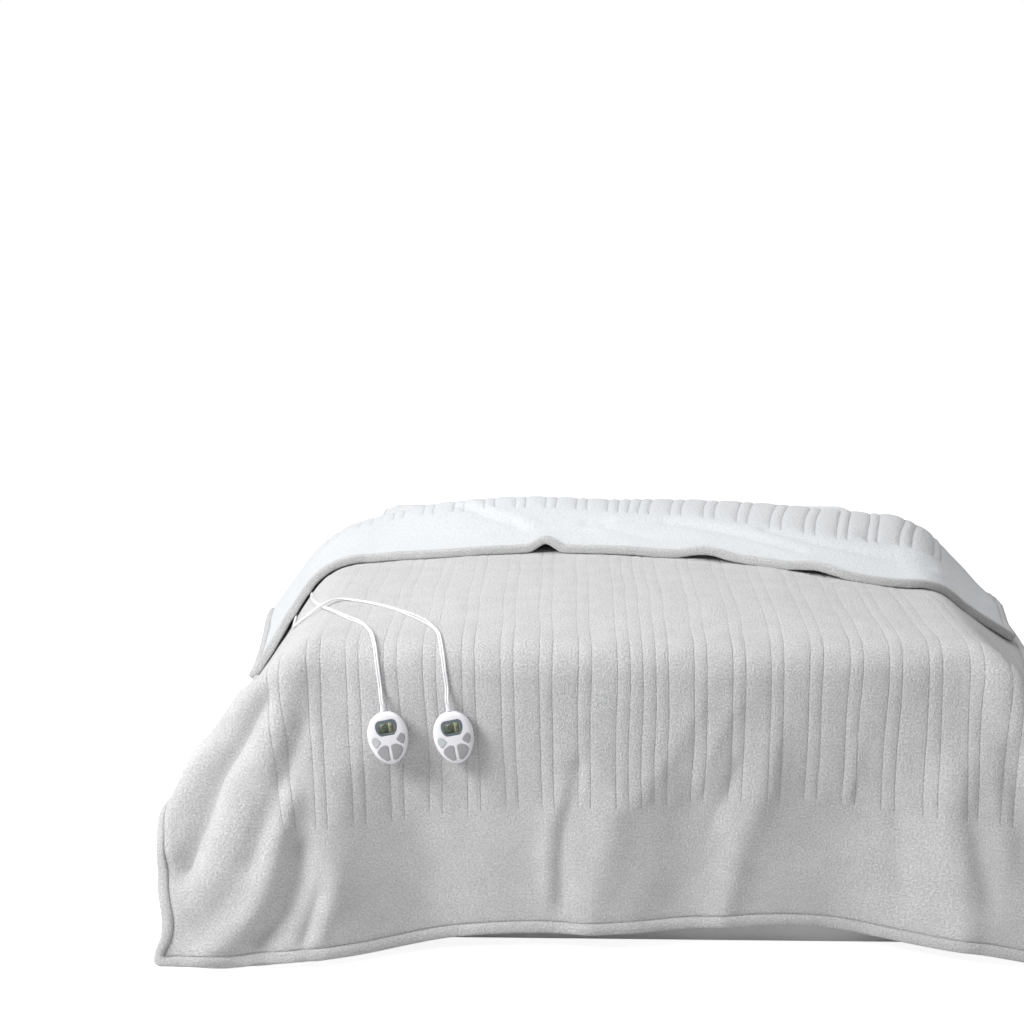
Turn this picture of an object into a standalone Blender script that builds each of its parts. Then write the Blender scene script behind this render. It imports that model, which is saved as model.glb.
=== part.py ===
"""An electric heated blanket over a plain bed, its head end turned down and its two hand controllers
hanging on their leads against the foot drop. Metres, +Z up, +Y to the head of the bed; the origin is on
the floor under the middle of the bed."""

import math

import bmesh
import bpy
import numpy as np
from mathutils import Matrix, Vector

# Bed
MATTRESS_WIDTH = 1.52
MATTRESS_LENGTH = 2.03
MATTRESS_HEIGHT = 0.28
BED_HEIGHT = 0.66
BASE_INSET = 0.010
EDGE_RADIUS = 0.08
CROWN = 0.042
CLOTH_CLEARANCE = 0.010
TOP_CONTACT = 0.0030
TOUCH_GAP = 0.0003
SEAM_GAP = 0.001

# Blanket
BLANKET_WIDTH = 2.13
BLANKET_LENGTH = 2.29
CREST_THICKNESS = 0.010
STITCHED_SHARE = 0.5
CORNER_RADIUS = 0.045
CHANNEL_UNIT = 0.0277
CHANNEL_PAIRS = 10
CHANNEL_MARGIN = 0.275
BINDING_WIDTH = 0.025
BINDING_HEIGHT = 0.014

TOP_HALF = MATTRESS_WIDTH / 2 - EDGE_RADIUS
FOOT_Y = -MATTRESS_LENGTH / 2 + EDGE_RADIUS

# Controllers, measured from the middle of the case's back: x to the right, y up, z out of the cloth
CASE_WIDTH = 0.085
CASE_LENGTH = 0.112
CASE_DEPTH = 0.026
CASE_TILT = math.radians(8.5)
CASE_SEGMENTS = 24
KEY_GAP = 0.0004
KEY_RISE = 0.0012
KEY_BOTTOM = 0.0183
KEY_TRAVEL = 0.001
DISPLAY_RISE = 0.0003
DISPLAY_BOTTOM = 0.0218
GLAND_LENGTH = 0.014
GLAND_HEIGHT = 0.012
LEAD_DIAMETER = 0.004
LEAD_SPREAD = 0.0023
LEAD_LIFT = CREST_THICKNESS / 2 + LEAD_DIAMETER / 2 + 0.0012

CONTROLLERS = {"left": (-0.552, -0.246), "right": (-0.412, -0.244)}  # across and along, on the foot drop
# Shares of the outline and heights in millimetres, from the back to the middle of the front
CASE_PROFILE = ((0.80, 0.0), (0.93, 1.5), (1.0, 6.0), (1.0, 14.0), (0.90, 21.5), (0.70, 24.2), (0.38, 25.5))
# Outlines in millimetres
KEYS = {
    "left_side": ((-28, 7), (-17.5, -4.5), (-17.5, -7), (-27, -16), (-30.5, -15.5), (-35.5, -5), (-34.5, 3)),
    "right_side": ((28, 7), (34.5, 3), (35.5, -5), (30.5, -15.5), (27, -16), (17.5, -7), (17.5, -4.5)),
    "lower_left": ((-3.4, -16), (-3.4, -46.5), (-11, -47.5), (-21, -39), (-27.5, -27), (-24, -20), (-13, -13.8)),
    "lower_right": ((3.4, -16), (13, -13.8), (24, -20), (27.5, -27), (21, -39), (11, -47.5), (3.4, -46.5)),
}
DISPLAY = ((-13, 38), (-19, 32), (-21.5, 22), (-19.5, 12), (-12, 6), (12, 6), (19.5, 12), (21.5, 22), (19, 32), (13, 38))
# Where each lead lies: across, along, half the distance between its two strands, rise over the other lead
LEADS = {
    "left": (
        (-0.5645, -0.140, 0.0022, 0.0), (-0.568, -0.105, 0.0022, 0.0), (-0.571, -0.083, 0.0023, 0.0),
        (-0.574, -0.062, 0.0023, 0.0), (-0.578, -0.042, 0.0023, 0.0), (-0.583, -0.021, 0.0023, 0.0),
        (-0.589, 0.001, 0.0023, 0.0), (-0.597, 0.028, 0.0023, 0.0), (-0.613, 0.072, 0.0030, 0.0),
        (-0.638, 0.116, 0.0055, 0.0), (-0.668, 0.166, 0.0040, 0.0), (-0.694, 0.215, 0.0023, 0.0),
        (-0.715, 0.262, 0.0023, 0.0), (-0.732, 0.310, 0.0023, 0.0), (-0.750, 0.370, 0.0023, 0.0),
        (-0.768, 0.440, 0.0023, 0.0), (-0.786, 0.520, 0.0023, 0.0), (-0.803, 0.600, 0.0023, 0.0),
        (-0.820, 0.680, 0.0023, 0.0), (-0.835, 0.750, 0.0023, 0.0), (-0.848, 0.810, 0.0023, 0.0),
        (-0.856, 0.850, 0.0023, 0.0),
    ),
    "right": (
        (-0.4225, -0.140, 0.0022, 0.0), (-0.4257, -0.105, 0.0022, 0.0), (-0.428, -0.083, 0.0023, 0.0),
        (-0.431, -0.062, 0.0023, 0.0), (-0.434, -0.042, 0.0023, 0.0), (-0.438, -0.021, 0.0023, 0.0),
        (-0.443, 0.001, 0.0023, 0.0), (-0.457, 0.042, 0.0023, 0.0), (-0.482, 0.090, 0.0050, 0.0),
        (-0.516, 0.142, 0.0055, 0.0), (-0.552, 0.196, 0.0023, 0.0), (-0.592, 0.250, 0.0023, 0.0),
        (-0.632, 0.300, 0.0023, 0.0), (-0.668, 0.334, 0.0023, 0.0), (-0.690, 0.340, 0.0023, 0.0020),
        (-0.708, 0.328, 0.0023, 0.0052), (-0.722, 0.306, 0.0023, 0.0054), (-0.737, 0.286, 0.0023, 0.0052),
        (-0.757, 0.278, 0.0023, 0.0020), (-0.783, 0.292, 0.0023, 0.0), (-0.812, 0.336, 0.0023, 0.0),
        (-0.838, 0.410, 0.0023, 0.0), (-0.860, 0.500, 0.0023, 0.0), (-0.880, 0.590, 0.0023, 0.0),
        (-0.895, 0.680, 0.0023, 0.0), (-0.905, 0.750, 0.0023, 0.0), (-0.910, 0.810, 0.0023, 0.0),
    ),
}

# Flat cloth beyond the foot edge, across the cloth: it is drawn down at the corners
FOOT_OVERHANG = (
    (-1.065, 0.725), (-0.68, 0.715), (-0.5, 0.697), (-0.34, 0.682), (0.0, 0.670), (0.35, 0.658), (0.68, 0.69),
    (1.065, 0.715),
)
# Where the cloth turns back on itself, along the bed from its foot edge, and how round the fold is
FOLD_LINE = ((-1.065, 1.14), (-0.71, 1.18), (0.0, 1.15), (0.68, 1.11), (1.065, 1.28))
FOLD_RADIUS = ((-1.065, 0.020), (-0.75, 0.026), (-0.6, 0.038), (-0.45, 0.044), (0.0, 0.038), (0.45, 0.042), (0.6, 0.040), (0.75, 0.030), (1.065, 0.022))
# Where the turned-down head edge lies, and how high it rests over the layer below
TURNED_EDGE = (
    (-1.065, 0.66), (-0.88, 0.76), (-0.71, 0.81), (-0.45, 0.77), (-0.22, 0.76), (0.0, 0.72),
    (0.2, 0.67), (0.35, 0.60), (0.54, 0.52), (0.68, 0.52), (0.85, 0.62), (1.065, 0.78),
)
TURNED_LIFT = ((-1.065, 0.020), (-0.62, 0.020), (-0.45, 0.016), (-0.25, 0.016), (0.9, 0.016), (1.065, 0.018))
# Where the turned-down head edge stands up a little: across, half width, height
EDGE_HUMPS = ((-0.215, 0.050, 0.028), (0.165, 0.065, 0.014), (0.43, 0.070, 0.016))
EDGE_HUMP_LENGTH = 0.12
# The soft top's rise above the mattress edge, along the bed
CROWN_RISE = ((-0.1, 0.0), (0.0, 0.0), (0.12, 0.45), (0.30, 0.85), (0.75, 0.92), (1.2, 1.0), (1.5, 0.5), (1.9, 0.1))

# How the cloth falls: shares of a unit step that go outwards (away from the bed's side) and forwards
# (away from its foot). The rest goes down.
FOOT_FALL = (  # across the bed, outwards, forwards
    (-0.68, -0.01, 0.28),
    (-0.51, -0.05, 0.166),
    (-0.34, -0.04, 0.11),
    (0.0, 0.0, 0.105),
    (0.35, -0.04, 0.075),
    (0.54, -0.05, 0.12),
    (0.68, -0.01, 0.20),
)
SIDE_FALL = (  # along the bed, outwards on the left and on the right, radius of the bend over the edge
    (0.0, 0.50, 0.46, 0.12),
    (0.3, 0.56, 0.58, 0.14),
    (0.65, 0.58, 0.78, 0.15),
    (1.2, 0.60, 0.78, 0.20),
    (1.9, 0.45, 0.45, 0.10),
)
CORNER_FALL = (  # bearing in degrees (0 is the side, 90 the foot), outwards, forwards, radius of the bend
    (0.0, 0.50, 0.0, 0.12),
    (18.0, 0.50, 0.05, 0.14),
    (31.0, 0.53, 0.11, 0.18),
    (43.0, 0.57, 0.17, 0.20),
    (50.0, 0.52, 0.22, 0.19),
    (61.0, 0.42, 0.30, 0.15),
    (74.0, 0.22, 0.30, 0.10),
    (90.0, -0.01, 0.28, 0.08),
)
RIGHT_CORNER_SHARES = (0.88, 0.20 / 0.28)


def smooth(table, at, column=1):
    """A smooth curve through a table's rows, read at each value of the first column."""
    knots = np.array([row[0] for row in table])
    values = np.array([row[column] for row in table])
    slopes = np.gradient(values, knots)
    at = np.clip(at, knots[0], knots[-1])
    i = np.clip(np.searchsorted(knots, at) - 1, 0, len(knots) - 2)
    width = knots[i + 1] - knots[i]
    t = (at - knots[i]) / width
    return (
        (1 + 2 * t) * (1 - t) ** 2 * values[i]
        + t * (1 - t) ** 2 * width * slopes[i]
        + t * t * (3 - 2 * t) * values[i + 1]
        + t * t * (t - 1) * width * slopes[i + 1]
    )


def ease(t):
    t = np.clip(t, 0, 1)
    return t * t * (3 - 2 * t)


def crown(across, along):
    """Height of the soft top above the mattress edge."""
    over = 1 - (np.abs(across) / TOP_HALF) ** 3
    return CROWN * np.clip(over, 0, 1) ** 1.5 * smooth(CROWN_RISE, along)


def fall_direction(side, across, along, bearing):
    """Unit steps down the hanging cloth, away from the edge that it fell over, and the radius of its bend."""
    outward = smooth(CORNER_FALL, bearing, 1)
    forward = smooth(CORNER_FALL, bearing, 2)
    outward = np.where(side > 0, outward * RIGHT_CORNER_SHARES[0], outward)
    forward = np.where(side > 0, forward * RIGHT_CORNER_SHARES[1], forward)
    on_side = along >= 0
    beside = np.where(side < 0, smooth(SIDE_FALL, along, 1), smooth(SIDE_FALL, along, 2))
    outward = np.where(on_side, beside, outward)
    forward = np.where(on_side, 0.0, forward)
    on_foot = np.abs(across) <= TOP_HALF
    outward = np.where(on_foot, smooth(FOOT_FALL, across, 1), outward)
    forward = np.where(on_foot, smooth(FOOT_FALL, across, 2), forward)
    down = np.sqrt(np.clip(1 - outward**2 - forward**2, 0.01, 1))
    radius = np.where(on_side, smooth(SIDE_FALL, along, 3), smooth(CORNER_FALL, bearing, 3))
    radius = np.where(on_foot, EDGE_RADIUS, radius)
    return np.stack([side * outward, -forward, -down], axis=-1), radius


def drape(across, along, lift=0.0):
    """The bed's dressed surface: a point of flat cloth, measured across from the bed's middle and along
    from its foot edge, as it lies on the top or has fallen over the edges, raised by lift."""
    across, along, lift = np.broadcast_arrays(*(np.asarray(v, float) for v in (across, along, lift)))
    side = np.where(across < 0, -1.0, 1.0)
    over_side = np.maximum(np.abs(across) - TOP_HALF, 0)
    over_foot = np.maximum(-along, 0)
    reach = np.hypot(over_side, over_foot)
    bearing = np.degrees(np.arctan2(over_foot, over_side))
    top_x = side * np.minimum(np.abs(across), TOP_HALF)
    top_y = np.maximum(along, 0)
    top_z = BED_HEIGHT + crown(top_x, top_y)
    edge = np.stack([top_x, FOOT_Y + top_y, top_z], axis=-1)
    flat = np.zeros_like(side)
    angle = np.radians(bearing)
    heading = np.stack([side * np.cos(angle), -np.sin(angle), flat], axis=-1)
    fall, radius = fall_direction(side, across, along, bearing)
    full_turn = np.arccos(np.clip((heading * fall).sum(-1), -1, 1))
    turn = np.minimum(reach / radius, full_turn)
    hanging = np.maximum(reach - radius * full_turn, 0)
    bend = radius / np.sin(full_turn)
    by_heading = bend * (np.cos(full_turn - turn) - np.cos(full_turn))
    by_fall = bend * (1 - np.cos(turn)) + hanging
    out = (heading * np.cos(full_turn - turn)[..., None] - fall * np.cos(turn)[..., None]) / np.sin(
        full_turn
    )[..., None]
    up = np.stack([flat, flat, flat + 1], axis=-1)
    out = np.where((reach > 0)[..., None], out, up)
    return edge + heading * by_heading[..., None] + fall * by_fall[..., None] + out * lift[..., None]


def fold_layout(across):
    """Along the bed: where the fold is, its radius, how much turns back, and the flat overhang at the foot.
    Last, the length of the path over the bed for each length of flat cloth."""
    fold = smooth(FOLD_LINE, across)
    radius = smooth(FOLD_RADIUS, across)
    turned = fold - smooth(TURNED_EDGE, across)
    overhang = smooth(FOOT_OVERHANG, across)
    stretch = (fold + math.pi * radius + turned) / (BLANKET_LENGTH - overhang)
    return fold, radius, turned, overhang, stretch


def lay(across, length):
    """The blanket's middle surface at a point of its flat cloth: length is measured from the foot hem,
    over the foot edge, along the top, round the fold and back to the turned-down head edge."""
    across, length = np.broadcast_arrays(np.asarray(across, float), np.asarray(length, float))
    fold, radius, turned, overhang, stretch = fold_layout(across)
    path = np.where(length < overhang, length - overhang, (length - overhang) * stretch)
    angle = np.clip((path - fold) / radius, 0, math.pi)
    back = np.maximum(path - fold - math.pi * radius, 0)
    along = np.minimum(path, fold) + radius * np.sin(angle) - back
    settled = ease(back / turned)
    over_fold = 2 * radius + (smooth(TURNED_LIFT, across) - 2 * radius) * settled
    near_edge = ease(1 - (turned - back) / EDGE_HUMP_LENGTH)
    for middle, half_width, height in EDGE_HUMPS:
        over_fold = over_fold + height * near_edge * ease(1 - np.abs(across - middle) / half_width)
    return drape(across, along, np.where(back > 0, over_fold, radius * (1 - np.cos(angle))))


def lengths_of_fold(across):
    """Flat lengths at which the foot edge, the fold's start and its end lie."""
    fold, radius, turned, overhang, stretch = fold_layout(across)
    return overhang, overhang + fold / stretch, overhang + (fold + math.pi * radius) / stretch


def material(name, colour, roughness, metallic=0.0):
    made = bpy.data.materials.new(name)
    made.use_nodes = True
    shader = made.node_tree.nodes["Principled BSDF"]
    shader.inputs["Base Color"].default_value = (*colour, 1.0)
    shader.inputs["Roughness"].default_value = roughness
    shader.inputs["Metallic"].default_value = metallic
    return made


def add_object(name, mesh, finish, collection, helper=False):
    obj = bpy.data.objects.new(name, mesh)
    obj.data.materials.append(finish)
    collection.objects.link(obj)
    if helper:
        obj.hide_render = True
        obj.display_type = "WIRE"
    return obj


def mesh_from(bm, name):
    mesh = bpy.data.meshes.new(name)
    bm.to_mesh(mesh)
    bm.free()
    mesh.shade_smooth()
    return mesh


# ---- Blanket and binding


def channel_columns():
    """Distances from the middle at which the sewn lines and the crests between them run."""
    sewn = [0.0]
    crests = [0.5 * CHANNEL_UNIT]
    for pair in range(CHANNEL_PAIRS):
        sewn += [(3 * pair + 1) * CHANNEL_UNIT, (3 * pair + 2) * CHANNEL_UNIT]
        crests += [(3 * pair + 1.5) * CHANNEL_UNIT, (3 * pair + 3) * CHANNEL_UNIT]
    return sewn, crests[:-1]


def cloth_columns():
    sewn, crests = channel_columns()
    rim = BLANKET_WIDTH / 2 - BINDING_WIDTH
    margin = np.linspace(max(sewn) + 0.5 * CHANNEL_UNIT, rim - CORNER_RADIUS, 5)
    half = sorted([*sewn[1:], *crests, *margin, rim])
    return [-x for x in reversed(half)] + [0.0, *half]


def cloth_rows(across):
    """Flat lengths of the rows of one column. The rows follow the fold, which crosses the bed aslant."""
    rim = BLANKET_LENGTH - BINDING_WIDTH
    foot_edge, fold_start, fold_end = lengths_of_fold(across)
    foot_arc = EDGE_RADIUS * math.pi / 2
    rows = [BINDING_WIDTH, BINDING_WIDTH + CORNER_RADIUS]
    rows += [*np.linspace(BINDING_WIDTH + CORNER_RADIUS, CHANNEL_MARGIN - 0.01, 4)[1:]]
    rows += [CHANNEL_MARGIN + 0.01]
    rows += [*np.linspace(CHANNEL_MARGIN + 0.01, foot_edge - foot_arc, 4)[1:]]
    rows += [*np.linspace(foot_edge - foot_arc, foot_edge, 5)[1:]]
    rows += [*np.linspace(foot_edge, fold_start, 6)[1:]]
    rows += [*np.linspace(fold_start, fold_end, 6)[1:]]
    rows += [*np.linspace(fold_end, BLANKET_LENGTH - CHANNEL_MARGIN + 0.01, 3)[1:]]
    rows += [*np.linspace(BLANKET_LENGTH - CHANNEL_MARGIN + 0.03, rim - CORNER_RADIUS, 3)]
    return rows + [rim]


def round_corner(across, length, grow=0.0):
    """Moves a point of the square cloth onto its rounded corner. Grow widens the outline evenly."""
    inner_x = BLANKET_WIDTH / 2 - BINDING_WIDTH - CORNER_RADIUS
    inner_low = BINDING_WIDTH + CORNER_RADIUS
    inner_high = BLANKET_LENGTH - inner_low
    core = Vector((max(-inner_x, min(inner_x, across)), max(inner_low, min(inner_high, length))))
    past = Vector((across, length)) - core
    if past.length < 1e-9:
        return across, length
    size = max(abs(past.x), abs(past.y))
    moved = core + past.normalized() * (size + grow * size / CORNER_RADIUS)
    return moved.x, moved.y


def fullness(across, length):
    """Thickness share: full on the crests, thin on the sewn lines, level in the plain margins."""
    sewn, crests = channel_columns()
    inside = CHANNEL_MARGIN < length < BLANKET_LENGTH - CHANNEL_MARGIN
    distance = min(abs(abs(across) - line) for line in sewn)
    if inside and distance < 1e-6:
        return STITCHED_SHARE
    return 1.0 if inside and abs(across) < max(sewn) else 0.8


def flat_points():
    """The flat cloth's grid points, a list of rows for each column."""
    return [[round_corner(x, y) for y in cloth_rows(x)] for x in cloth_columns()]


def plush_side(across, length):
    """Unit steps out of the cloth on its plush side."""
    step = 0.002
    sideways = lay(across + step, length) - lay(across - step, length)
    lengthways = lay(across, length + step) - lay(across, length - step)
    out = np.cross(sideways, lengthways)
    return out / np.linalg.norm(out, axis=-1)[..., None]


def blanket_mesh():
    """The cloth's grid laid on the bed twice, half a thickness to either side, and closed round the rim."""
    columns = np.array(flat_points())
    middle = lay(columns[..., 0], columns[..., 1])
    share = np.array([[fullness(*point) for point in column] for column in columns])
    half = plush_side(columns[..., 0], columns[..., 1]) * share[..., None] * CREST_THICKNESS / 2
    bm = bmesh.new()
    plush, sherpa = (
        [[bm.verts.new(point) for point in column] for column in side] for side in (middle + half, middle - half)
    )
    for i in range(len(columns) - 1):
        for j in range(len(columns[0]) - 1):
            bm.faces.new((plush[i][j], plush[i + 1][j], plush[i + 1][j + 1], plush[i][j + 1]))
            bm.faces.new((sherpa[i][j], sherpa[i][j + 1], sherpa[i + 1][j + 1], sherpa[i + 1][j]))
    upper, lower = rim_of(plush), rim_of(sherpa)
    for k in range(len(upper)):
        bm.faces.new((upper[k - 1], lower[k - 1], lower[k], upper[k]))
    return mesh_from(bm, "blanket")


def rim_of(columns):
    """The outer points of a grid in order, counter-clockwise from the foot's left corner."""
    foot = [column[0] for column in columns]
    head = [column[-1] for column in reversed(columns)]
    return foot + columns[-1][1:-1] + head + list(reversed(columns[0][1:-1]))


def add_binding(finish, collection):
    """A soft strip along the whole rim: a closed ring of D-shaped sections, flat side to the cloth."""
    half = BINDING_HEIGHT / 2
    width = BINDING_WIDTH - SEAM_GAP
    section = ((0.0, -0.6), (0.5, -1.0), (1.0, 0.0), (0.5, 1.0), (0.0, 0.6))
    square = rim_of([[(x, y) for y in cloth_rows(x)] for x in cloth_columns()])
    rim, inner, outer = (
        np.array([round_corner(*point, grow) for point in square]).T for grow in (0.0, SEAM_GAP, BINDING_WIDTH)
    )
    inside = lay(*inner)
    outward = lay(*outer) - inside
    outward /= np.linalg.norm(outward, axis=1)[:, None]
    upward = plush_side(*rim)
    bm = bmesh.new()
    rings = []
    for start, out, up in zip(inside, outward, upward):
        rings.append([bm.verts.new(start + out * u * width + up * v * half) for u, v in section])
    for ring, following in zip(rings, rings[1:] + rings[:1]):
        for k in range(len(section)):
            after = (k + 1) % len(section)
            bm.faces.new((ring[k], following[k], following[after], ring[after]))
    bmesh.ops.recalc_face_normals(bm, faces=bm.faces)
    return add_object("binding", mesh_from(bm, "binding"), finish, collection)


# ---- Bed


def add_mattress(finish, collection):
    """A plain mattress with rounded edges and a soft crown under the cloth."""
    radius = EDGE_RADIUS - CLOTH_CLEARANCE
    size = Vector((MATTRESS_WIDTH - 2 * CLOTH_CLEARANCE, MATTRESS_LENGTH - 2 * CLOTH_CLEARANCE, 0))
    size.z = MATTRESS_HEIGHT - CLOTH_CLEARANCE
    bm = bmesh.new()
    bmesh.ops.create_cube(bm, size=1.0)
    bmesh.ops.scale(bm, vec=size, verts=bm.verts)
    bmesh.ops.bevel(bm, geom=bm.edges[:], offset=radius, segments=4, profile=0.5, affect="EDGES")
    middle = BED_HEIGHT - CLOTH_CLEARANCE - size.z / 2
    bmesh.ops.translate(bm, vec=(0, 0, middle), verts=bm.verts)
    for x in (-0.6, -0.45, 0.0, 0.45, 0.6):
        geometry = bm.verts[:] + bm.edges[:] + bm.faces[:]
        bmesh.ops.bisect_plane(bm, geom=geometry, plane_co=(x, 0, 0), plane_no=(1, 0, 0), dist=1e-5)
    for along in (0.12, 0.3, 1.2, 1.5):
        geometry = bm.verts[:] + bm.edges[:] + bm.faces[:]
        place = (0, FOOT_Y + along, 0)
        bmesh.ops.bisect_plane(bm, geom=geometry, plane_co=place, plane_no=(0, 1, 0), dist=1e-5)
    top = BED_HEIGHT - CLOTH_CLEARANCE - 1e-4
    for vertex in bm.verts:
        if vertex.co.z > top:
            vertex.co.z += float(crown(vertex.co.x, vertex.co.y - FOOT_Y))
            if abs(vertex.co.x) < 0.5 and vertex.co.y - FOOT_Y > 0.2:
                vertex.co.z += TOP_CONTACT
    return add_object("mattress", mesh_from(bm, "mattress"), finish, collection)


def add_base(finish, collection):
    height = BED_HEIGHT - MATTRESS_HEIGHT - TOUCH_GAP
    bm = bmesh.new()
    bmesh.ops.create_cube(bm, size=1.0)
    size = (MATTRESS_WIDTH - 2 * BASE_INSET, MATTRESS_LENGTH - 2 * BASE_INSET, height)
    bmesh.ops.scale(bm, vec=size, verts=bm.verts)
    upright = [e for e in bm.edges if abs(e.verts[0].co.z - e.verts[1].co.z) > height / 2]
    bmesh.ops.bevel(bm, geom=upright, offset=0.05, segments=4, profile=0.5, affect="EDGES")
    bmesh.ops.translate(bm, vec=(0, 0, height / 2), verts=bm.verts)
    return add_object("bed_base", mesh_from(bm, "bed_base"), finish, collection)


# ---- Controllers and leads


def case_frame(across, along):
    """The matrix of a controller: its back just clears the cloth that it hangs against, its top leans left."""
    step = 0.01
    place = Vector(drape(across, along))
    right = Vector(drape(across + step, along) - drape(across - step, along))
    up = Vector(drape(across, along + step) - drape(across, along - step)).normalized()
    out = right.cross(up).normalized()
    right = up.cross(out)
    reach = np.linspace(-1, 1, 9)
    around = drape(across + reach[:, None] * CASE_WIDTH / 2, along + reach[None, :] * CASE_LENGTH / 2)
    highest = ((around - np.array(place)) @ np.array(out)).max()
    place += out * (highest + CREST_THICKNESS / 2 - 0.0006)
    frame = Matrix((right, up, out)).transposed().to_4x4()
    return Matrix.Translation(place) @ frame @ Matrix.Rotation(CASE_TILT, 4, "Z")


def case_outline(share, height):
    """A ring of the egg-shaped case, a little wider at its top."""
    ring = []
    for k in range(CASE_SEGMENTS):
        angle = 2 * math.pi * k / CASE_SEGMENTS
        x = CASE_WIDTH / 2 * math.cos(angle) * (1 + 0.08 * math.sin(angle))
        ring.append((x * share, CASE_LENGTH / 2 * math.sin(angle) * share, height))
    return ring


def add_rings(bm, rings, frame):
    """A closed solid through rings of points, with flat ends."""
    made = [[bm.verts.new(frame @ Vector(point)) for point in ring] for ring in rings]
    for ring, following in zip(made, made[1:]):
        for k in range(len(ring)):
            after = (k + 1) % len(ring)
            bm.faces.new((ring[k], ring[after], following[after], following[k]))
    bm.faces.new(list(reversed(made[0])))
    bm.faces.new(made[-1])


def case_mesh(frame, name, raised=0.0):
    rings = [case_outline(share, height * 0.001 + raised) for share, height in CASE_PROFILE]
    rings.append(case_outline(0.12, CASE_DEPTH + raised))
    bm = bmesh.new()
    add_rings(bm, rings, frame)
    return mesh_from(bm, name)


def grown(outline, gap):
    """An outline in millimetres as metres, moved outwards by gap."""
    made = []
    count = len(outline)
    for k in range(count):
        before, here, after = (Vector(outline[(k + j) % count]) * 0.001 for j in (-1, 0, 1))
        first = (here - before).normalized()
        second = (after - here).normalized()
        corner = Vector((first.y + second.y, -first.x - second.x)).normalized()
        made.append(here + corner * gap / max(corner.dot(Vector((first.y, -first.x))), 0.5))
    return made


def counter_clockwise(outline):
    area = sum(a[0] * b[1] - b[0] * a[1] for a, b in zip(outline, outline[1:] + outline[:1]))
    return outline if area > 0 else tuple(reversed(outline))


def add_prism(bm, outline, gap, bottom, top, frame):
    flat = grown(counter_clockwise(outline), gap)
    add_rings(bm, [[(p.x, p.y, height) for p in flat] for height in (bottom, top)], frame)


def cut(obj, name, helper, operation):
    boolean = obj.modifiers.new(name, "BOOLEAN")
    boolean.operation = operation
    boolean.solver = "EXACT"
    boolean.object = helper


def add_face_piece(name, outline, bottom, raised_case, finish, collection, frame):
    """A key or the display: a prism of its outline under the case's face raised a little."""
    bm = bmesh.new()
    add_prism(bm, outline, 0.0, bottom, 2 * CASE_DEPTH, frame)
    piece = add_object(name, mesh_from(bm, name), finish, collection)
    cut(piece, "face", raised_case, "INTERSECT")


def add_controller(side, finishes, collection):
    frame = case_frame(*CONTROLLERS[side])
    case_name = side + "_case"
    case = add_object(case_name, case_mesh(frame, case_name), finishes["shell"], collection)
    bm = bmesh.new()
    for outline in KEYS.values():
        add_prism(bm, outline, KEY_GAP, KEY_BOTTOM - KEY_TRAVEL - TOUCH_GAP, 2 * CASE_DEPTH, frame)
    add_prism(bm, DISPLAY, KEY_GAP, DISPLAY_BOTTOM - TOUCH_GAP, 2 * CASE_DEPTH, frame)
    pockets = add_object(side + "_pockets", mesh_from(bm, "pockets"), finishes["shell"], collection, True)
    cut(case, "pockets", pockets, "DIFFERENCE")
    for label, rise in (("keys", KEY_RISE), ("display", DISPLAY_RISE)):
        mesh = case_mesh(frame, label, rise)
        raised = add_object(side + "_raised_" + label, mesh, finishes["shell"], collection, True)
        if label == "display":
            add_face_piece(
                side + "_display", DISPLAY, DISPLAY_BOTTOM, raised, finishes["window"], collection, frame
            )
            continue
        for key, outline in KEYS.items():
            name = side + "_key_" + key
            add_face_piece(name, outline, KEY_BOTTOM, raised, finishes["key"], collection, frame)
    add_gland(side, frame, finishes["shell"], collection)
    add_leads(side, frame, finishes["lead"], collection)


def add_gland(side, frame, finish, collection):
    """The strain relief: a flattened taper at the top of the case."""
    rings = []
    start = CASE_LENGTH / 2 + 0.0004
    for share, radius in ((0.0, 0.0050), (0.12, 0.0055), (0.9, 0.0036), (1.0, 0.0032)):
        ring = []
        for k in range(12):
            angle = -2 * math.pi * k / 12
            x = 1.6 * radius * math.cos(angle)
            ring.append((x, start + share * GLAND_LENGTH, GLAND_HEIGHT + radius * math.sin(angle)))
        rings.append(ring)
    bm = bmesh.new()
    add_rings(bm, rings, frame)
    add_object(side + "_gland", mesh_from(bm, "gland"), finish, collection)


def strand_route(side, frame, hand):
    """One strand's centre line: out of the gland, then along the lead's place on the cloth."""
    route = np.array(LEADS[side])
    heading = np.gradient(route[:, :2], axis=0)
    heading /= np.linalg.norm(heading, axis=1)[:, None]
    across = route[:, 0] + hand * heading[:, 1] * route[:, 2]
    along = route[:, 1] - hand * heading[:, 0] * route[:, 2]
    leave = CASE_LENGTH / 2 + GLAND_LENGTH + 0.0004 + 2 * TOUCH_GAP
    first = [
        Vector(frame @ Vector((hand * LEAD_SPREAD, leave + ahead, GLAND_HEIGHT - drop)))
        for ahead, drop in ((0.0, 0.0), (0.008, 0.0008))
    ]
    return first + [Vector(point) for point in drape(across, along, LEAD_LIFT + route[:, 3])]


def add_leads(side, frame, finish, collection):
    for hand, label in ((-1, "1"), (1, "2")):
        name = side + "_lead_strand_" + label
        curve = bpy.data.curves.new(name, "CURVE")
        curve.dimensions = "3D"
        curve.bevel_depth = LEAD_DIAMETER / 2
        curve.bevel_resolution = 2
        curve.use_fill_caps = True
        points = strand_route(side, frame, hand)
        spline = curve.splines.new("POLY")
        spline.points.add(len(points) - 1)
        for point, place in zip(spline.points, points):
            point.co = (*place, 1.0)
        add_object(name, curve, finish, collection)


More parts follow.
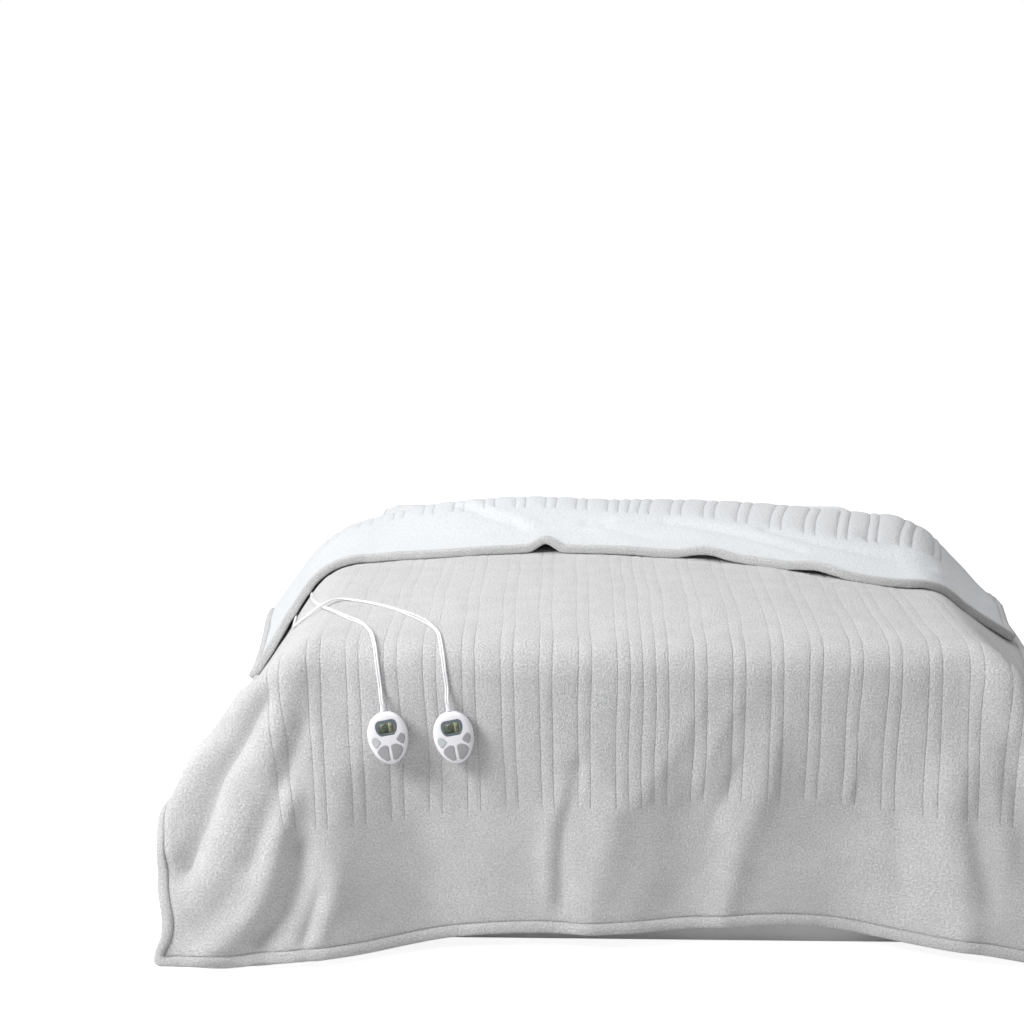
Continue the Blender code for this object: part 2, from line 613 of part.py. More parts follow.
def main():
    for obj in list(bpy.data.objects):
        bpy.data.objects.remove(obj)
    parts = bpy.data.collections.new("heated_blanket")
    bpy.context.scene.collection.children.link(parts)
    plush = material("grey plush", (0.60, 0.59, 0.58), 0.95)
    edging = material("grey binding", (0.56, 0.54, 0.54), 0.95)
    ticking = material("white ticking", (0.85, 0.85, 0.86), 0.9)
    add_object("blanket", blanket_mesh(), plush, parts)
    add_binding(edging, parts)
    add_mattress(ticking, parts)
    add_base(ticking, parts)
    finishes = {
        "shell": material("white gloss plastic", (0.88, 0.88, 0.90), 0.25),
        "key": material("grey key plastic", (0.48, 0.45, 0.48), 0.5),
        "window": material("display window", (0.16, 0.19, 0.21), 0.15),
        "lead": material("white lead", (0.90, 0.90, 0.91), 0.45),
    }
    for side in CONTROLLERS:
        add_controller(side, finishes, parts)


main()
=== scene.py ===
"""An electric heated blanket over a plain bed: its plush and sherpa cloth, its binding, and its two hand
controllers on their leads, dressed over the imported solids. Metres, +Z up, +Y to the head of the bed."""

import math

import bmesh
import bpy
import numpy as np
from bpy.props import FloatProperty, FloatVectorProperty, IntProperty, PointerProperty
from mathutils import Matrix, Vector


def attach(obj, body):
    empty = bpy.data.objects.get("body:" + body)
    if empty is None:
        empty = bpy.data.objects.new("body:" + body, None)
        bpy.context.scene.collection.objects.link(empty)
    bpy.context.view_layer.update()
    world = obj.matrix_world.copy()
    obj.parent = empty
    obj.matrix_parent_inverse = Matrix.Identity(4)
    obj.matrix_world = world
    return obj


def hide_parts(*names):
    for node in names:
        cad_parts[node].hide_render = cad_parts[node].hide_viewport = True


bl_info = {
    "name": "Electric heated blanket",
    "version": (1, 0, 0),
    "blender": (4, 5, 0),
    "location": "View3D > Sidebar > Blanket",
    "description": "Dresses a heated blanket, its controllers and the bed that it lies on",
    "category": "Object",
}

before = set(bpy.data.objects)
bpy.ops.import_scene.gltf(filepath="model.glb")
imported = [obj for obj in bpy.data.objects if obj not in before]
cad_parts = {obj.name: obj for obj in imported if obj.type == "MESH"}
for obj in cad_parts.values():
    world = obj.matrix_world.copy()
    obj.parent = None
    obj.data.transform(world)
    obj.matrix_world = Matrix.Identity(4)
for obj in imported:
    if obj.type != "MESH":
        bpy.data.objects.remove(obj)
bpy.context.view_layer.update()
BED = "bed"
MILLIMETRE = 0.001
MATH, MIX, MAP_RANGE, NOISE = "ShaderNodeMath", "ShaderNodeMix", "ShaderNodeMapRange", "ShaderNodeTexNoise"

# Bed
MATTRESS_WIDTH = 1.52
MATTRESS_LENGTH = 2.03
MATTRESS_HEIGHT = 0.28
BED_HEIGHT = 0.66
EDGE_RADIUS = 0.08
CROWN = 0.042
CLOTH_CLEARANCE = 0.010
TOP_CONTACT = 0.0030
# How far apart the points of the mattress may be
MATTRESS_STEP = 0.035

# Blanket
BLANKET_WIDTH = 2.13
BLANKET_LENGTH = 2.29
CREST_THICKNESS = 0.010
CORNER_RADIUS = 0.018
CHANNEL_UNIT = 0.0277
CHANNEL_PAIRS = 10
CHANNEL_MARGIN = 0.275
BINDING_WIDTH = 0.025
BINDING_PUFF = 0.0215
# Half of the binding's round section, from the cloth to its outer edge: shares of its width and half height
BINDING_SECTION = (
    (0.0, -0.38), (0.08, -0.66), (0.24, -0.93), (0.50, -1.02), (0.78, -0.99), (0.93, -0.84), (0.99, -0.5),
)
# Where the seam's stitches lie: how far out on the binding, and their share of its half height
SEAM_INSET = 0.0012
SEAM_RISE = 0.50
# The most that a stitch turns out of line about each axis, in radians
STITCH_TURN = (0.06, 0.06, 0.12)
# How deep the sewn lines sink into each side of the cloth, and how wide their hollow is
PLUSH_SINK = 0.40
SHERPA_SINK = 0.90
SINK_WIDTH = 0.0055
SINK_EDGE = 0.004
# How far apart its columns of points may be: between the sewn lines, in the plain margin and at the corner
CHANNEL_COLUMNS = 0.0105
MARGIN_COLUMNS = 0.014
CORNER_COLUMNS = 0.011
# Where on its length the plush is drawn taut over the bed, so that its sewn lines sink less
TAUT_START = 0.60
TAUT_END = 1.70
TAUT_EASE = 0.15
# Length over which a channel closes at its ends
CHANNEL_END = 0.012
# Distances from the binding at which the cloth thins towards it
RIM_STEP = 0.006
RIM_SLOPE = 0.014
TOP_HALF = MATTRESS_WIDTH / 2 - EDGE_RADIUS
FOOT_Y = -MATTRESS_LENGTH / 2 + EDGE_RADIUS

# Controllers, measured from the middle of the case's back: x to the right, y up, z out of the cloth
CASE_WIDTH = 0.085
CASE_LENGTH = 0.112
CASE_DEPTH = 0.026
CASE_TILT = math.radians(8.5)
# How far a case's back lies below the highest level that a crest behind it could reach
CASE_SETTLE = 0.0006
POCKET_ROUNDING = 0.0004
SHARP_ANGLE = math.radians(50)
KEY_GAP = 0.0004
KEY_RISE = 0.0012
KEY_BOTTOM = 0.0183
KEY_TRAVEL = 0.001
KEY_CORNER = 0.003
KEY_DISH = 0.0003
DISPLAY_RISE = 0.0003
DISPLAY_BOTTOM = 0.0218
DISPLAY_CORNER = 0.004
DISPLAY_ROUNDING = 0.0004
TOUCH_GAP = 0.0003
GLAND_GAP = 0.0004
GLAND_LENGTH = 0.014
GLAND_HEIGHT = 0.012
LEAD_DIAMETER = 0.004
LEAD_SPREAD = 0.0023
LEAD_LIFT = CREST_THICKNESS / 2 + LEAD_DIAMETER / 2 + 0.0012

CONTROLLERS = {"left": (-0.552, -0.246), "right": (-0.412, -0.244)}  # across and along, on the foot drop
# Shares of the outline and heights in millimetres, from the back to the middle of the front
CASE_PROFILE = (
    (0.80, 0.0), (0.93, 1.5), (1.0, 6.0), (1.0, 14.0), (0.90, 21.5), (0.70, 24.2), (0.38, 25.5), (0.12, 26.0),
)
# Outlines in millimetres
KEYS = {
    "left_side": ((-28, 7), (-17.5, -4.5), (-17.5, -7), (-27, -16), (-30.5, -15.5), (-35.5, -5), (-34.5, 3)),
    "right_side": ((28, 7), (34.5, 3), (35.5, -5), (30.5, -15.5), (27, -16), (17.5, -7), (17.5, -4.5)),
    "lower_left": ((-3.4, -16), (-3.4, -46.5), (-11, -47.5), (-21, -39), (-27.5, -27), (-24, -20), (-13, -13.8)),
    "lower_right": ((3.4, -16), (13, -13.8), (24, -20), (27.5, -27), (21, -39), (11, -47.5), (3.4, -46.5)),
}
DISPLAY = (
    (-16, 38.5), (-21.5, 34), (-23.5, 25), (-21, 14), (-14.5, 5.8),
    (14.5, 5.8), (21, 14), (23.5, 25), (21.5, 34), (16, 38.5),
)
# The case is an egg: its upper end is wider by this share
EGG_SHARE = 0.08
# The fine groove where the case's two halves meet: its height, and its shares and heights
GROOVE_HEIGHT = 11.0
GROOVE = ((1.0, 10.3), (1.0, 10.75), (0.988, 10.85), (0.988, 11.15), (1.0, 11.25), (1.0, 11.7))
# Radius of the strain relief along it, and how deep its ribs are cut, in millimetres
GLAND_PROFILE = ((0.0, 4.2), (0.12, 4.2), (0.9, 3.2), (1.0, 3.1))
RIB_DEPTH = 0.35
GLAND_RINGS = 28
GLAND_SIDES = 28
# Its width as a share of its height
GLAND_FLATNESS = 1.5
# The display's panel
LCD_MIDDLE = (0.0, 0.0218)
LCD_HALF = (0.0157, 0.0113)
LCD_DEPTH = 0.0007
# The slope of its opening: how far outside the panel, and how far below the frame
OPENING_SLOPE = ((0.0016, 0.0), (0.0006, 0.0002), (0.0, 0.0005))
# How far right of its middle the dividing bar and the side panel lie
BAR_X = 0.0064
SIDE_X = 0.0112
# The display's finishes in their order, after its frame
PANEL, STROKE, BAR, SIDE = 1, 2, 3, 4
# The strokes of a numeral on the display, in shares of its half width and half height
NUMERAL_STROKES = {
    "top": (0, 1, 0), "middle": (0, 0, 0), "bottom": (0, -1, 0),
    "upper_left": (-1, 0.5, 1), "upper_right": (1, 0.5, 1), "lower_left": (-1, -0.5, 1), "lower_right": (1, -0.5, 1),
}
NUMERALS = {
    "5": ("top", "upper_left", "middle", "lower_right", "bottom"),
    "8": tuple(NUMERAL_STROKES),
}
# Where each lead lies: across, along, half the distance between its two strands, rise over the other lead
LEADS = {
    "left": (
        (-0.5645, -0.140, 0.0022, 0.0), (-0.568, -0.105, 0.0022, 0.0), (-0.571, -0.083, 0.0023, 0.0),
        (-0.574, -0.062, 0.0023, 0.0), (-0.578, -0.042, 0.0023, 0.0), (-0.583, -0.021, 0.0023, 0.0),
        (-0.589, 0.001, 0.0023, 0.0), (-0.597, 0.028, 0.0023, 0.0), (-0.613, 0.072, 0.0030, 0.0),
        (-0.638, 0.116, 0.0055, 0.0), (-0.668, 0.166, 0.0040, 0.0), (-0.694, 0.215, 0.0023, 0.0),
        (-0.715, 0.262, 0.0023, 0.0), (-0.732, 0.310, 0.0023, 0.0), (-0.750, 0.370, 0.0023, 0.0),
        (-0.768, 0.440, 0.0023, 0.0), (-0.786, 0.520, 0.0023, 0.0), (-0.803, 0.600, 0.0023, 0.0),
        (-0.820, 0.680, 0.0023, 0.0), (-0.835, 0.750, 0.0023, 0.0), (-0.848, 0.810, 0.0023, 0.0),
        (-0.856, 0.850, 0.0023, 0.0),
    ),
    "right": (
        (-0.4225, -0.140, 0.0022, 0.0), (-0.4257, -0.105, 0.0022, 0.0), (-0.428, -0.083, 0.0023, 0.0),
        (-0.431, -0.062, 0.0023, 0.0), (-0.434, -0.042, 0.0023, 0.0), (-0.438, -0.021, 0.0023, 0.0),
        (-0.443, 0.001, 0.0023, 0.0), (-0.457, 0.042, 0.0023, 0.0), (-0.482, 0.090, 0.0050, 0.0),
        (-0.516, 0.142, 0.0055, 0.0), (-0.552, 0.196, 0.0023, 0.0), (-0.592, 0.250, 0.0023, 0.0),
        (-0.632, 0.300, 0.0023, 0.0), (-0.668, 0.334, 0.0023, 0.0), (-0.690, 0.340, 0.0023, 0.0020),
        (-0.708, 0.328, 0.0023, 0.0052), (-0.722, 0.306, 0.0023, 0.0054), (-0.737, 0.286, 0.0023, 0.0052),
        (-0.757, 0.278, 0.0023, 0.0020), (-0.783, 0.292, 0.0023, 0.0), (-0.812, 0.336, 0.0023, 0.0),
        (-0.838, 0.410, 0.0023, 0.0), (-0.860, 0.500, 0.0023, 0.0), (-0.880, 0.590, 0.0023, 0.0),
        (-0.895, 0.680, 0.0023, 0.0), (-0.905, 0.750, 0.0023, 0.0), (-0.910, 0.810, 0.0023, 0.0),
    ),
}

# Flat cloth beyond the foot edge, across the cloth
FOOT_OVERHANG = (
    (-1.065, 0.725), (-0.68, 0.715), (-0.5, 0.697), (-0.34, 0.682), (0.0, 0.670), (0.35, 0.658), (0.68, 0.69),
    (1.065, 0.715),
)
# Where the cloth turns back on itself, along the bed from its foot edge, and how round the fold is
FOLD_LINE = ((-1.065, 1.14), (-0.71, 1.18), (0.0, 1.15), (0.68, 1.11), (1.065, 1.28))
FOLD_RADIUS = (
    (-1.065, 0.020), (-0.75, 0.026), (-0.6, 0.038), (-0.45, 0.042), (0.0, 0.038), (0.45, 0.043), (0.6, 0.045),
    (0.75, 0.041), (0.9, 0.030), (1.065, 0.022),
)
# Where the turned-down head edge lies, and how high it rests over the layer below
TURNED_EDGE = (
    (-1.065, 0.66), (-0.88, 0.76), (-0.71, 0.81), (-0.45, 0.77), (-0.22, 0.76), (0.0, 0.72),
    (0.2, 0.67), (0.35, 0.60), (0.54, 0.52), (0.68, 0.52), (0.85, 0.62), (1.065, 0.78),
)
TURNED_LIFT = (
    (-1.065, 0.016), (-0.97, 0.018), (-0.93, 0.0212), (-0.81, 0.0212), (-0.74, 0.0175), (-0.62, 0.016),
    (-0.25, 0.016), (0.9, 0.016), (1.065, 0.017),
)
# Where the turned-down head edge stands up a little: across, half width, height
EDGE_HUMPS = ((-0.215, 0.050, 0.024), (0.185, 0.085, 0.012), (0.45, 0.085, 0.012))
EDGE_HUMP_LENGTH = 0.12
# The soft top's rise above the mattress edge, along the bed
CROWN_RISE = ((-0.1, 0.0), (0.0, 0.0), (0.12, 0.45), (0.30, 0.85), (0.75, 0.92), (1.2, 1.0), (1.5, 0.5), (1.9, 0.1))
# How the cloth falls: shares of a unit step that go outwards (away from the bed's side) and forwards
# (away from its foot). The rest goes down.
FOOT_FALL = (  # across the bed, outwards, forwards
    (-0.68, -0.01, 0.28),
    (-0.51, -0.05, 0.166),
    (-0.34, -0.04, 0.11),
    (0.0, 0.0, 0.105),
    (0.35, -0.04, 0.075),
    (0.54, -0.05, 0.12),
    (0.68, -0.01, 0.20),
)
SIDE_FALL = (  # along the bed, outwards on the left and on the right, radius of the bend over the edge
    (0.0, 0.50, 0.46, 0.12),
    (0.3, 0.56, 0.58, 0.14),
    (0.65, 0.58, 0.78, 0.15),
    (1.2, 0.60, 0.78, 0.20),
    (1.9, 0.45, 0.45, 0.10),
)
CORNER_FALL = (  # bearing in degrees (0 is the side, 90 the foot), outwards, forwards, radius of the bend
    (0.0, 0.50, 0.0, 0.12),
    (18.0, 0.50, 0.05, 0.14),
    (31.0, 0.53, 0.11, 0.18),
    (43.0, 0.57, 0.17, 0.20),
    (50.0, 0.52, 0.22, 0.19),
    (61.0, 0.42, 0.30, 0.15),
    (74.0, 0.22, 0.30, 0.10),
    (90.0, -0.01, 0.28, 0.08),
)
RIGHT_CORNER_SHARES = (0.88, 0.20 / 0.28)
# Real sizes in the finishes: patches of brushed plush, stitches in the channels' lines, fibres of the sherpa,
# slubs of the woven cloth, and the depth of the mattress's quilting
BRUSHED_PATCH = 0.055
DASH_SPACING = 0.0045
WOOL_GRAIN = 0.0016
SLUB_LENGTH = 0.012
QUILT_DEPTH = 0.004
QUILT_SPACING = 0.16
# Real threads are under 0.5 mm apart, and real moulding grain and display cells under 0.2 mm. All are too fine
# for the picture, so they are drawn coarser.
TICKING_THREAD = 0.0016
TAPE_THREAD = 0.0012
BASE_THREAD = 0.0024
SHELL_PORE = 0.0006
LEAD_PORE = 0.0009
KEY_PORE = 0.0004
DISPLAY_CELL = 0.0004
# Soft folds in the hanging cloth: their line (across, along), half width and height, valleys below zero
SOFT_FOLDS = (
    (((-0.883, -0.126), (-0.965, -0.192), (-1.001, -0.312), (-1.039, -0.398), (-1.043, -0.468)), 0.036, 0.015),
    (((-0.809, -0.180), (-0.863, -0.260), (-0.923, -0.338), (-0.947, -0.422), (-0.985, -0.514)), 0.030, -0.016),
    (((-0.765, -0.248), (-0.809, -0.342), (-0.853, -0.424), (-0.891, -0.506), (-0.951, -0.586)), 0.034, 0.005),
    (((-0.733, -0.226), (-0.763, -0.298), (-0.791, -0.380), (-0.811, -0.422), (-0.843, -0.504)), 0.024, -0.008),
    (((-0.767, -0.380), (-0.795, -0.462), (-0.833, -0.586), (-0.861, -0.626), (-0.945, -0.696)), 0.034, 0.014),
    (((-0.735, -0.484), (-0.735, -0.546), (-0.753, -0.588), (-0.781, -0.628), (-0.823, -0.668)), 0.030, -0.011),
    (((-0.691, -0.574), (-0.711, -0.630), (-0.727, -0.670)), 0.016, -0.006),
    (((-0.661, -0.546), (-0.661, -0.588), (-0.675, -0.630), (-0.691, -0.666)), 0.018, 0.004),
    (((-0.480, -0.358), (-0.484, -0.466), (-0.488, -0.552), (-0.482, -0.660)), 0.120, -0.026),
    (((-0.662, -0.338), (-0.667, -0.462), (-0.667, -0.566)), 0.060, 0.009),
    (((-0.270, -0.400), (-0.274, -0.510), (-0.278, -0.640)), 0.100, -0.009),
    (((-0.136, -0.304), (-0.162, -0.380), (-0.178, -0.444), (-0.184, -0.510), (-0.180, -0.596)), 0.020, -0.007),
    (((-0.168, -0.358), (-0.198, -0.434), (-0.212, -0.510), (-0.214, -0.598)), 0.022, 0.006),
    (((-0.066, -0.410), (-0.088, -0.508), (-0.106, -0.574), (-0.124, -0.660)), 0.045, 0.011),
    (((0.125, -0.420), (0.116, -0.508), (0.094, -0.640)), 0.100, -0.022),
    (
        ((0.284, -0.260), (0.272, -0.356), (0.252, -0.410), (0.224, -0.464), (0.210, -0.530), (0.184, -0.640)),
        0.034,
        0.009,
    ),
    (((0.440, -0.470), (0.448, -0.548), (0.455, -0.640)), 0.145, -0.028),
    (((0.559, -0.400), (0.565, -0.500), (0.579, -0.600)), 0.022, -0.006),
    (((0.665, -0.320), (0.662, -0.400), (0.664, -0.480), (0.672, -0.550), (0.690, -0.640)), 0.046, 0.013),
    (((0.695, -0.410), (0.725, -0.494), (0.750, -0.578)), 0.028, -0.006),
    (((0.755, -0.300), (0.770, -0.400), (0.790, -0.520)), 0.026, 0.004),
    (((0.792, -0.280), (0.815, -0.366), (0.835, -0.428), (0.860, -0.520)), 0.032, -0.014),
    (((0.118, -0.172), (0.084, -0.238), (0.048, -0.302), (0.012, -0.346), (-0.008, -0.378)), 0.020, 0.003),
    (((0.198, -0.172), (0.164, -0.236), (0.142, -0.290), (0.130, -0.346)), 0.020, 0.0035),
    (((0.210, -0.302), (0.190, -0.366), (0.156, -0.438)), 0.018, -0.005),
    (((0.468, -0.256), (0.468, -0.320), (0.454, -0.370)), 0.014, 0.004),
)
# The folds at the left corner, further left than this, are deeper
LEFT_CORNER = -0.6
LEFT_FOLD_STRENGTH = 1.5
# How far past the foot edge these folds may reach on to the top
FOLD_END = 0.1
# The cloth's loose ripples, and how its sewn lines stray: move, wavelength, skew across the cloth and start
RIPPLE_WAVELENGTHS = (0.31, 0.24, 0.19, 0.15, 0.12, 0.095)
STRAYS = ((0.0016, 0.43, 9, 0), (0.0008, 0.24, 23, 1))
# Where the hanging cloth is pulled along its own surface: flat place, reach, and move (across, lengthways)
PULLS = (
    ((-0.78, 0.22), (0.17, 0.24), (0.030, 0.0)),
    ((-1.065, 0.09), (0.13, 0.075), (0.030, 0.0)),
    ((-1.065, 0.0), (0.10, 0.030), (-0.040, 0.0)),
    ((-1.065, 0.40), (0.14, 0.12), (-0.018, 0.0)),
    ((-1.065, 2.29), (0.16, 0.13), (-0.004, 0.10)),
    ((-1.065, 1.98), (0.16, 0.16), (0.018, 0.0)),
    ((1.065, 2.22), (0.25, 0.20), (-0.044, 0.042)),
    ((0.46, 1.72), (0.46, 0.20), (0.062, 0.0)),
    ((-0.42, 0.0), (0.20, 0.15), (0.0, 0.008)),
)
# Creases in the turned-down part, (across, from the head edge), hollows of the sherpa above zero
TURNED_CREASES = (
    (((-0.460, 0.330), (-0.380, 0.240), (-0.287, 0.155)), 0.016, 0.0070),
    (((-0.430, 0.350), (-0.350, 0.260), (-0.250, 0.175)), 0.020, -0.0050),
    (((-0.340, 0.120), (-0.200, 0.145), (-0.077, 0.140)), 0.012, 0.0050),
    (((-0.110, 0.200), (-0.060, 0.215)), 0.018, 0.0110),
    (((-0.060, 0.170), (0.060, 0.120)), 0.016, 0.0050),
    (((0.10, 0.230), (0.26, 0.210), (0.42, 0.150)), 0.020, 0.0085),
    (((0.36, 0.260), (0.56, 0.220), (0.74, 0.160)), 0.022, 0.0100),
    (((0.62, 0.320), (0.80, 0.260), (0.94, 0.180)), 0.024, 0.0085),
)

# Stage. The camera's turn is in degrees.
CAMERA_PLACE = (-0.169, -4.985, 1.595)
CAMERA_TURN = (80.73, 0.0, 1.589)
FLOOR_HALF = 14.0
# The soft lights: place, side length and share of the key light's power, and the place that both face
LIGHTS = (("key_light", (-3.9, -2.65, 3.4), 2.1, 1.0), ("top_light", (0.3, 0.0, 4.6), 3.2, 0.34))
LIT_PLACE = (0, -0.4, 0.5)


def linear(hex_colour):
    """An sRGB colour written RRGGBB, as the linear values that Blender works in."""
    shares = [int(hex_colour[i : i + 2], 16) / 255 for i in (0, 2, 4)]
    return tuple(c / 12.92 if c <= 0.04045 else ((c + 0.055) / 1.055) ** 2.4 for c in shares)


def colour_property(name, description, hex_colour):
    """A colour that a user may change, from its sRGB value."""
    return FloatVectorProperty(
        name=name, description=description, subtype="COLOR", size=3, min=0.0, max=1.0, default=linear(hex_colour)
    )


def length_property(name, description, default):
    """A size in metres that a user may change."""
    return FloatProperty(name=name, description=description, default=default, min=0.0, unit="LENGTH", precision=4)


def share_property(name, description, default):
    """A share from 0 to 1 that a user may change."""
    return FloatProperty(
        name=name, description=description, default=default, min=0.0, max=1.0, subtype="FACTOR"
    )


class ClothSettings(bpy.types.PropertyGroup):
    """Colours and fine sizes of the blanket's cloth"""

    plush: colour_property("Plush", "Colour of the plush face", "F8F8F8")
    plush_depth: colour_property("Plush depth", "Colour between the tufts of the plush", "CBCBCC")
    sherpa: colour_property("Sherpa", "Colour of the sherpa back", "DADDE0")
    sherpa_depth: colour_property("Sherpa depth", "Colour between the curls of the sherpa", "CFD3D7")
    # Real tufts are about 1 mm wide and real curls about 4 mm. Both are too fine for the picture, so they are
    # drawn coarser.
    grain: length_property("Plush grain", "Size of the tufts of the plush", 0.0042)
    curl: length_property("Sherpa curl", "Size of the curls of the sherpa", 0.0065)
    ripple: length_property("Ripple", "Height of the cloth's loose ripples", 0.0012)
    stitch_spacing: length_property("Stitch spacing", "Distance between stitches of the binding's seam", 0.0052)
    stitch_length: length_property("Stitch length", "Length of each stitch", 0.0036)
    thread_width: length_property("Thread width", "Width of the thread", 0.0008)
    seed: IntProperty(name="Seed", description="Seed of the stitches' small turns", default=4)


class BedSettings(bpy.types.PropertyGroup):
    """Colours and sizes of the plain bed under the blanket"""

    ticking: colour_property("Ticking", "Colour of the mattress cloth", "F3F4F6")
    tape: colour_property("Tape", "Colour of the mattress's edge tape", "E6E8EB")
    base: colour_property("Base cloth", "Colour of the cloth on the bed base", "F6F6F7")
    tape_radius: length_property("Tape radius", "Half the thickness of the mattress's edge tape", 0.004)


class ControllerSettings(bpy.types.PropertyGroup):
    """Colours and fine sizes of the two hand controllers and their leads"""

    shell: colour_property("Shell", "Colour of the moulded cases and strain reliefs", "F6F5FA")
    key: colour_property("Keys", "Colour of the keys", "ABA9AD")
    side_key: colour_property("Left key", "Colour of the key at the left side of each case", "C6CACD")
    window: colour_property("Window", "Colour of the frame round each display", "6B747C")
    display: colour_property("Display", "Colour of the display's background", "545E4A")
    numeral: colour_property("Numerals", "Colour of the display's numerals", "30372D")
    side_panel: colour_property("Side panel", "Colour of the display's narrow side panel", "7A7C58")
    bar: colour_property("Bar", "Colour of the bar that divides each display", "A9AC9E")
    lead: colour_property("Leads", "Colour of the leads", "FAFAFC")
    rounding: length_property("Rounding", "Rounding of the keys' edges", 0.0007)


class StageSettings(bpy.types.PropertyGroup):
    """The floor, the light and the camera"""

    floor: colour_property("Floor", "Colour of the floor", "D8D8D8")
    floor_glow: share_property("Floor glow", "How much lighter the floor looks", 0.85)
    key_light: FloatProperty(
        name="Key light", description="Power of the soft light at the upper left", default=240.0, unit="POWER"
    )
    room_light: share_property("Room light", "Strength of the even light all round", 0.33)
    lens: FloatProperty(name="Lens", description="Focal length of the camera", default=67.18, unit="CAMERA")


# ---- The cloth's form


def smooth(table, at, column=1):
    """A smooth curve through a table's rows, read at each value of the first column."""
    knots = np.array([row[0] for row in table])
    values = np.array([row[column] for row in table])
    slopes = np.gradient(values, knots)
    at = np.clip(at, knots[0], knots[-1])
    i = np.clip(np.searchsorted(knots, at) - 1, 0, len(knots) - 2)
    width = knots[i + 1] - knots[i]
    t = (at - knots[i]) / width
    return (
        (1 + 2 * t) * (1 - t) ** 2 * values[i]
        + t * (1 - t) ** 2 * width * slopes[i]
        + t * t * (3 - 2 * t) * values[i + 1]
        + t * t * (t - 1) * width * slopes[i + 1]
    )


def ease(t):
    """A smooth step from 0 to 1."""
    t = np.clip(t, 0, 1)
    return t * t * (3 - 2 * t)


def crown(across, along):
    """Height of the soft top above the mattress edge."""
    over = 1 - (np.abs(across) / TOP_HALF) ** 3
    return CROWN * np.clip(over, 0, 1) ** 1.5 * smooth(CROWN_RISE, along)


def fall_direction(side, across, along, bearing):
    """Unit steps down the hanging cloth, away from the edge that it fell over, and the radius of its bend."""
    outward = smooth(CORNER_FALL, bearing, 1)
    forward = smooth(CORNER_FALL, bearing, 2)
    outward = np.where(side > 0, outward * RIGHT_CORNER_SHARES[0], outward)
    forward = np.where(side > 0, forward * RIGHT_CORNER_SHARES[1], forward)
    on_side = along >= 0
    beside = np.where(side < 0, smooth(SIDE_FALL, along, 1), smooth(SIDE_FALL, along, 2))
    outward = np.where(on_side, beside, outward)
    forward = np.where(on_side, 0.0, forward)
    on_foot = np.abs(across) <= TOP_HALF
    outward = np.where(on_foot, smooth(FOOT_FALL, across, 1), outward)
    forward = np.where(on_foot, smooth(FOOT_FALL, across, 2), forward)
    down = np.sqrt(np.clip(1 - outward**2 - forward**2, 0.01, 1))
    radius = np.where(on_side, smooth(SIDE_FALL, along, 3), smooth(CORNER_FALL, bearing, 3))
    radius = np.where(on_foot, EDGE_RADIUS, radius)
    return np.stack([side * outward, -forward, -down], axis=-1), radius


def drape(across, along, lift=0.0):
    """The bed's dressed surface: a point of flat cloth, measured across from the bed's middle and along
    from its foot edge, as it lies on the top or has fallen over the edges, raised by lift."""
    across, along, lift = np.broadcast_arrays(*(np.asarray(v, float) for v in (across, along, lift)))
    side = np.where(across < 0, -1.0, 1.0)
    over_side = np.maximum(np.abs(across) - TOP_HALF, 0)
    over_foot = np.maximum(-along, 0)
    reach = np.hypot(over_side, over_foot)
    bearing = np.degrees(np.arctan2(over_foot, over_side))
    top_x = side * np.minimum(np.abs(across), TOP_HALF)
    top_y = np.maximum(along, 0)
    top_z = BED_HEIGHT + crown(top_x, top_y)
    edge = np.stack([top_x, FOOT_Y + top_y, top_z], axis=-1)
    flat = np.zeros_like(side)
    angle = np.radians(bearing)
    heading = np.stack([side * np.cos(angle), -np.sin(angle), flat], axis=-1)
    fall, radius = fall_direction(side, across, along, bearing)
    full_turn = np.arccos(np.clip((heading * fall).sum(-1), -1, 1))
    turn = np.minimum(reach / radius, full_turn)
    hanging = np.maximum(reach - radius * full_turn, 0)
    bend = radius / np.sin(full_turn)
    by_heading = bend * (np.cos(full_turn - turn) - np.cos(full_turn))
    by_fall = bend * (1 - np.cos(turn)) + hanging
    out = (heading * np.cos(full_turn - turn)[..., None] - fall * np.cos(turn)[..., None]) / np.sin(
        full_turn
    )[..., None]
    up = np.stack([flat, flat, flat + 1], axis=-1)
    out = np.where((reach > 0)[..., None], out, up)
    return edge + heading * by_heading[..., None] + fall * by_fall[..., None] + out * lift[..., None]


def fold_layout(across):
    """Along the bed: where the fold is, its radius, how much turns back, and the flat overhang at the foot.
    Last, the length of the path over the bed for each length of flat cloth."""
    fold = smooth(FOLD_LINE, across)
    radius = smooth(FOLD_RADIUS, across)
    turned = fold - smooth(TURNED_EDGE, across)
    overhang = smooth(FOOT_OVERHANG, across)
    stretch = (fold + math.pi * radius + turned) / (BLANKET_LENGTH - overhang)
    return fold, radius, turned, overhang, stretch


def lay(across, length):
    """The blanket's middle surface at a point of its flat cloth: length is measured from the foot hem,
    over the foot edge, along the top, round the fold and back to the turned-down head edge."""
    across, length = np.broadcast_arrays(np.asarray(across, float), np.asarray(length, float))
    fold, radius, turned, overhang, stretch = fold_layout(across)
    path = np.where(length < overhang, length - overhang, (length - overhang) * stretch)
    angle = np.clip((path - fold) / radius, 0, math.pi)
    back = np.maximum(path - fold - math.pi * radius, 0)
    along = np.minimum(path, fold) + radius * np.sin(angle) - back
    settled = ease(back / turned)
    over_fold = 2 * radius + (smooth(TURNED_LIFT, across) - 2 * radius) * settled
    near_edge = ease(1 - (turned - back) / EDGE_HUMP_LENGTH)
    for middle, half_width, height in EDGE_HUMPS:
        over_fold = over_fold + height * near_edge * ease(1 - np.abs(across - middle) / half_width)
    return drape(across, along, np.where(back > 0, over_fold, radius * (1 - np.cos(angle))))


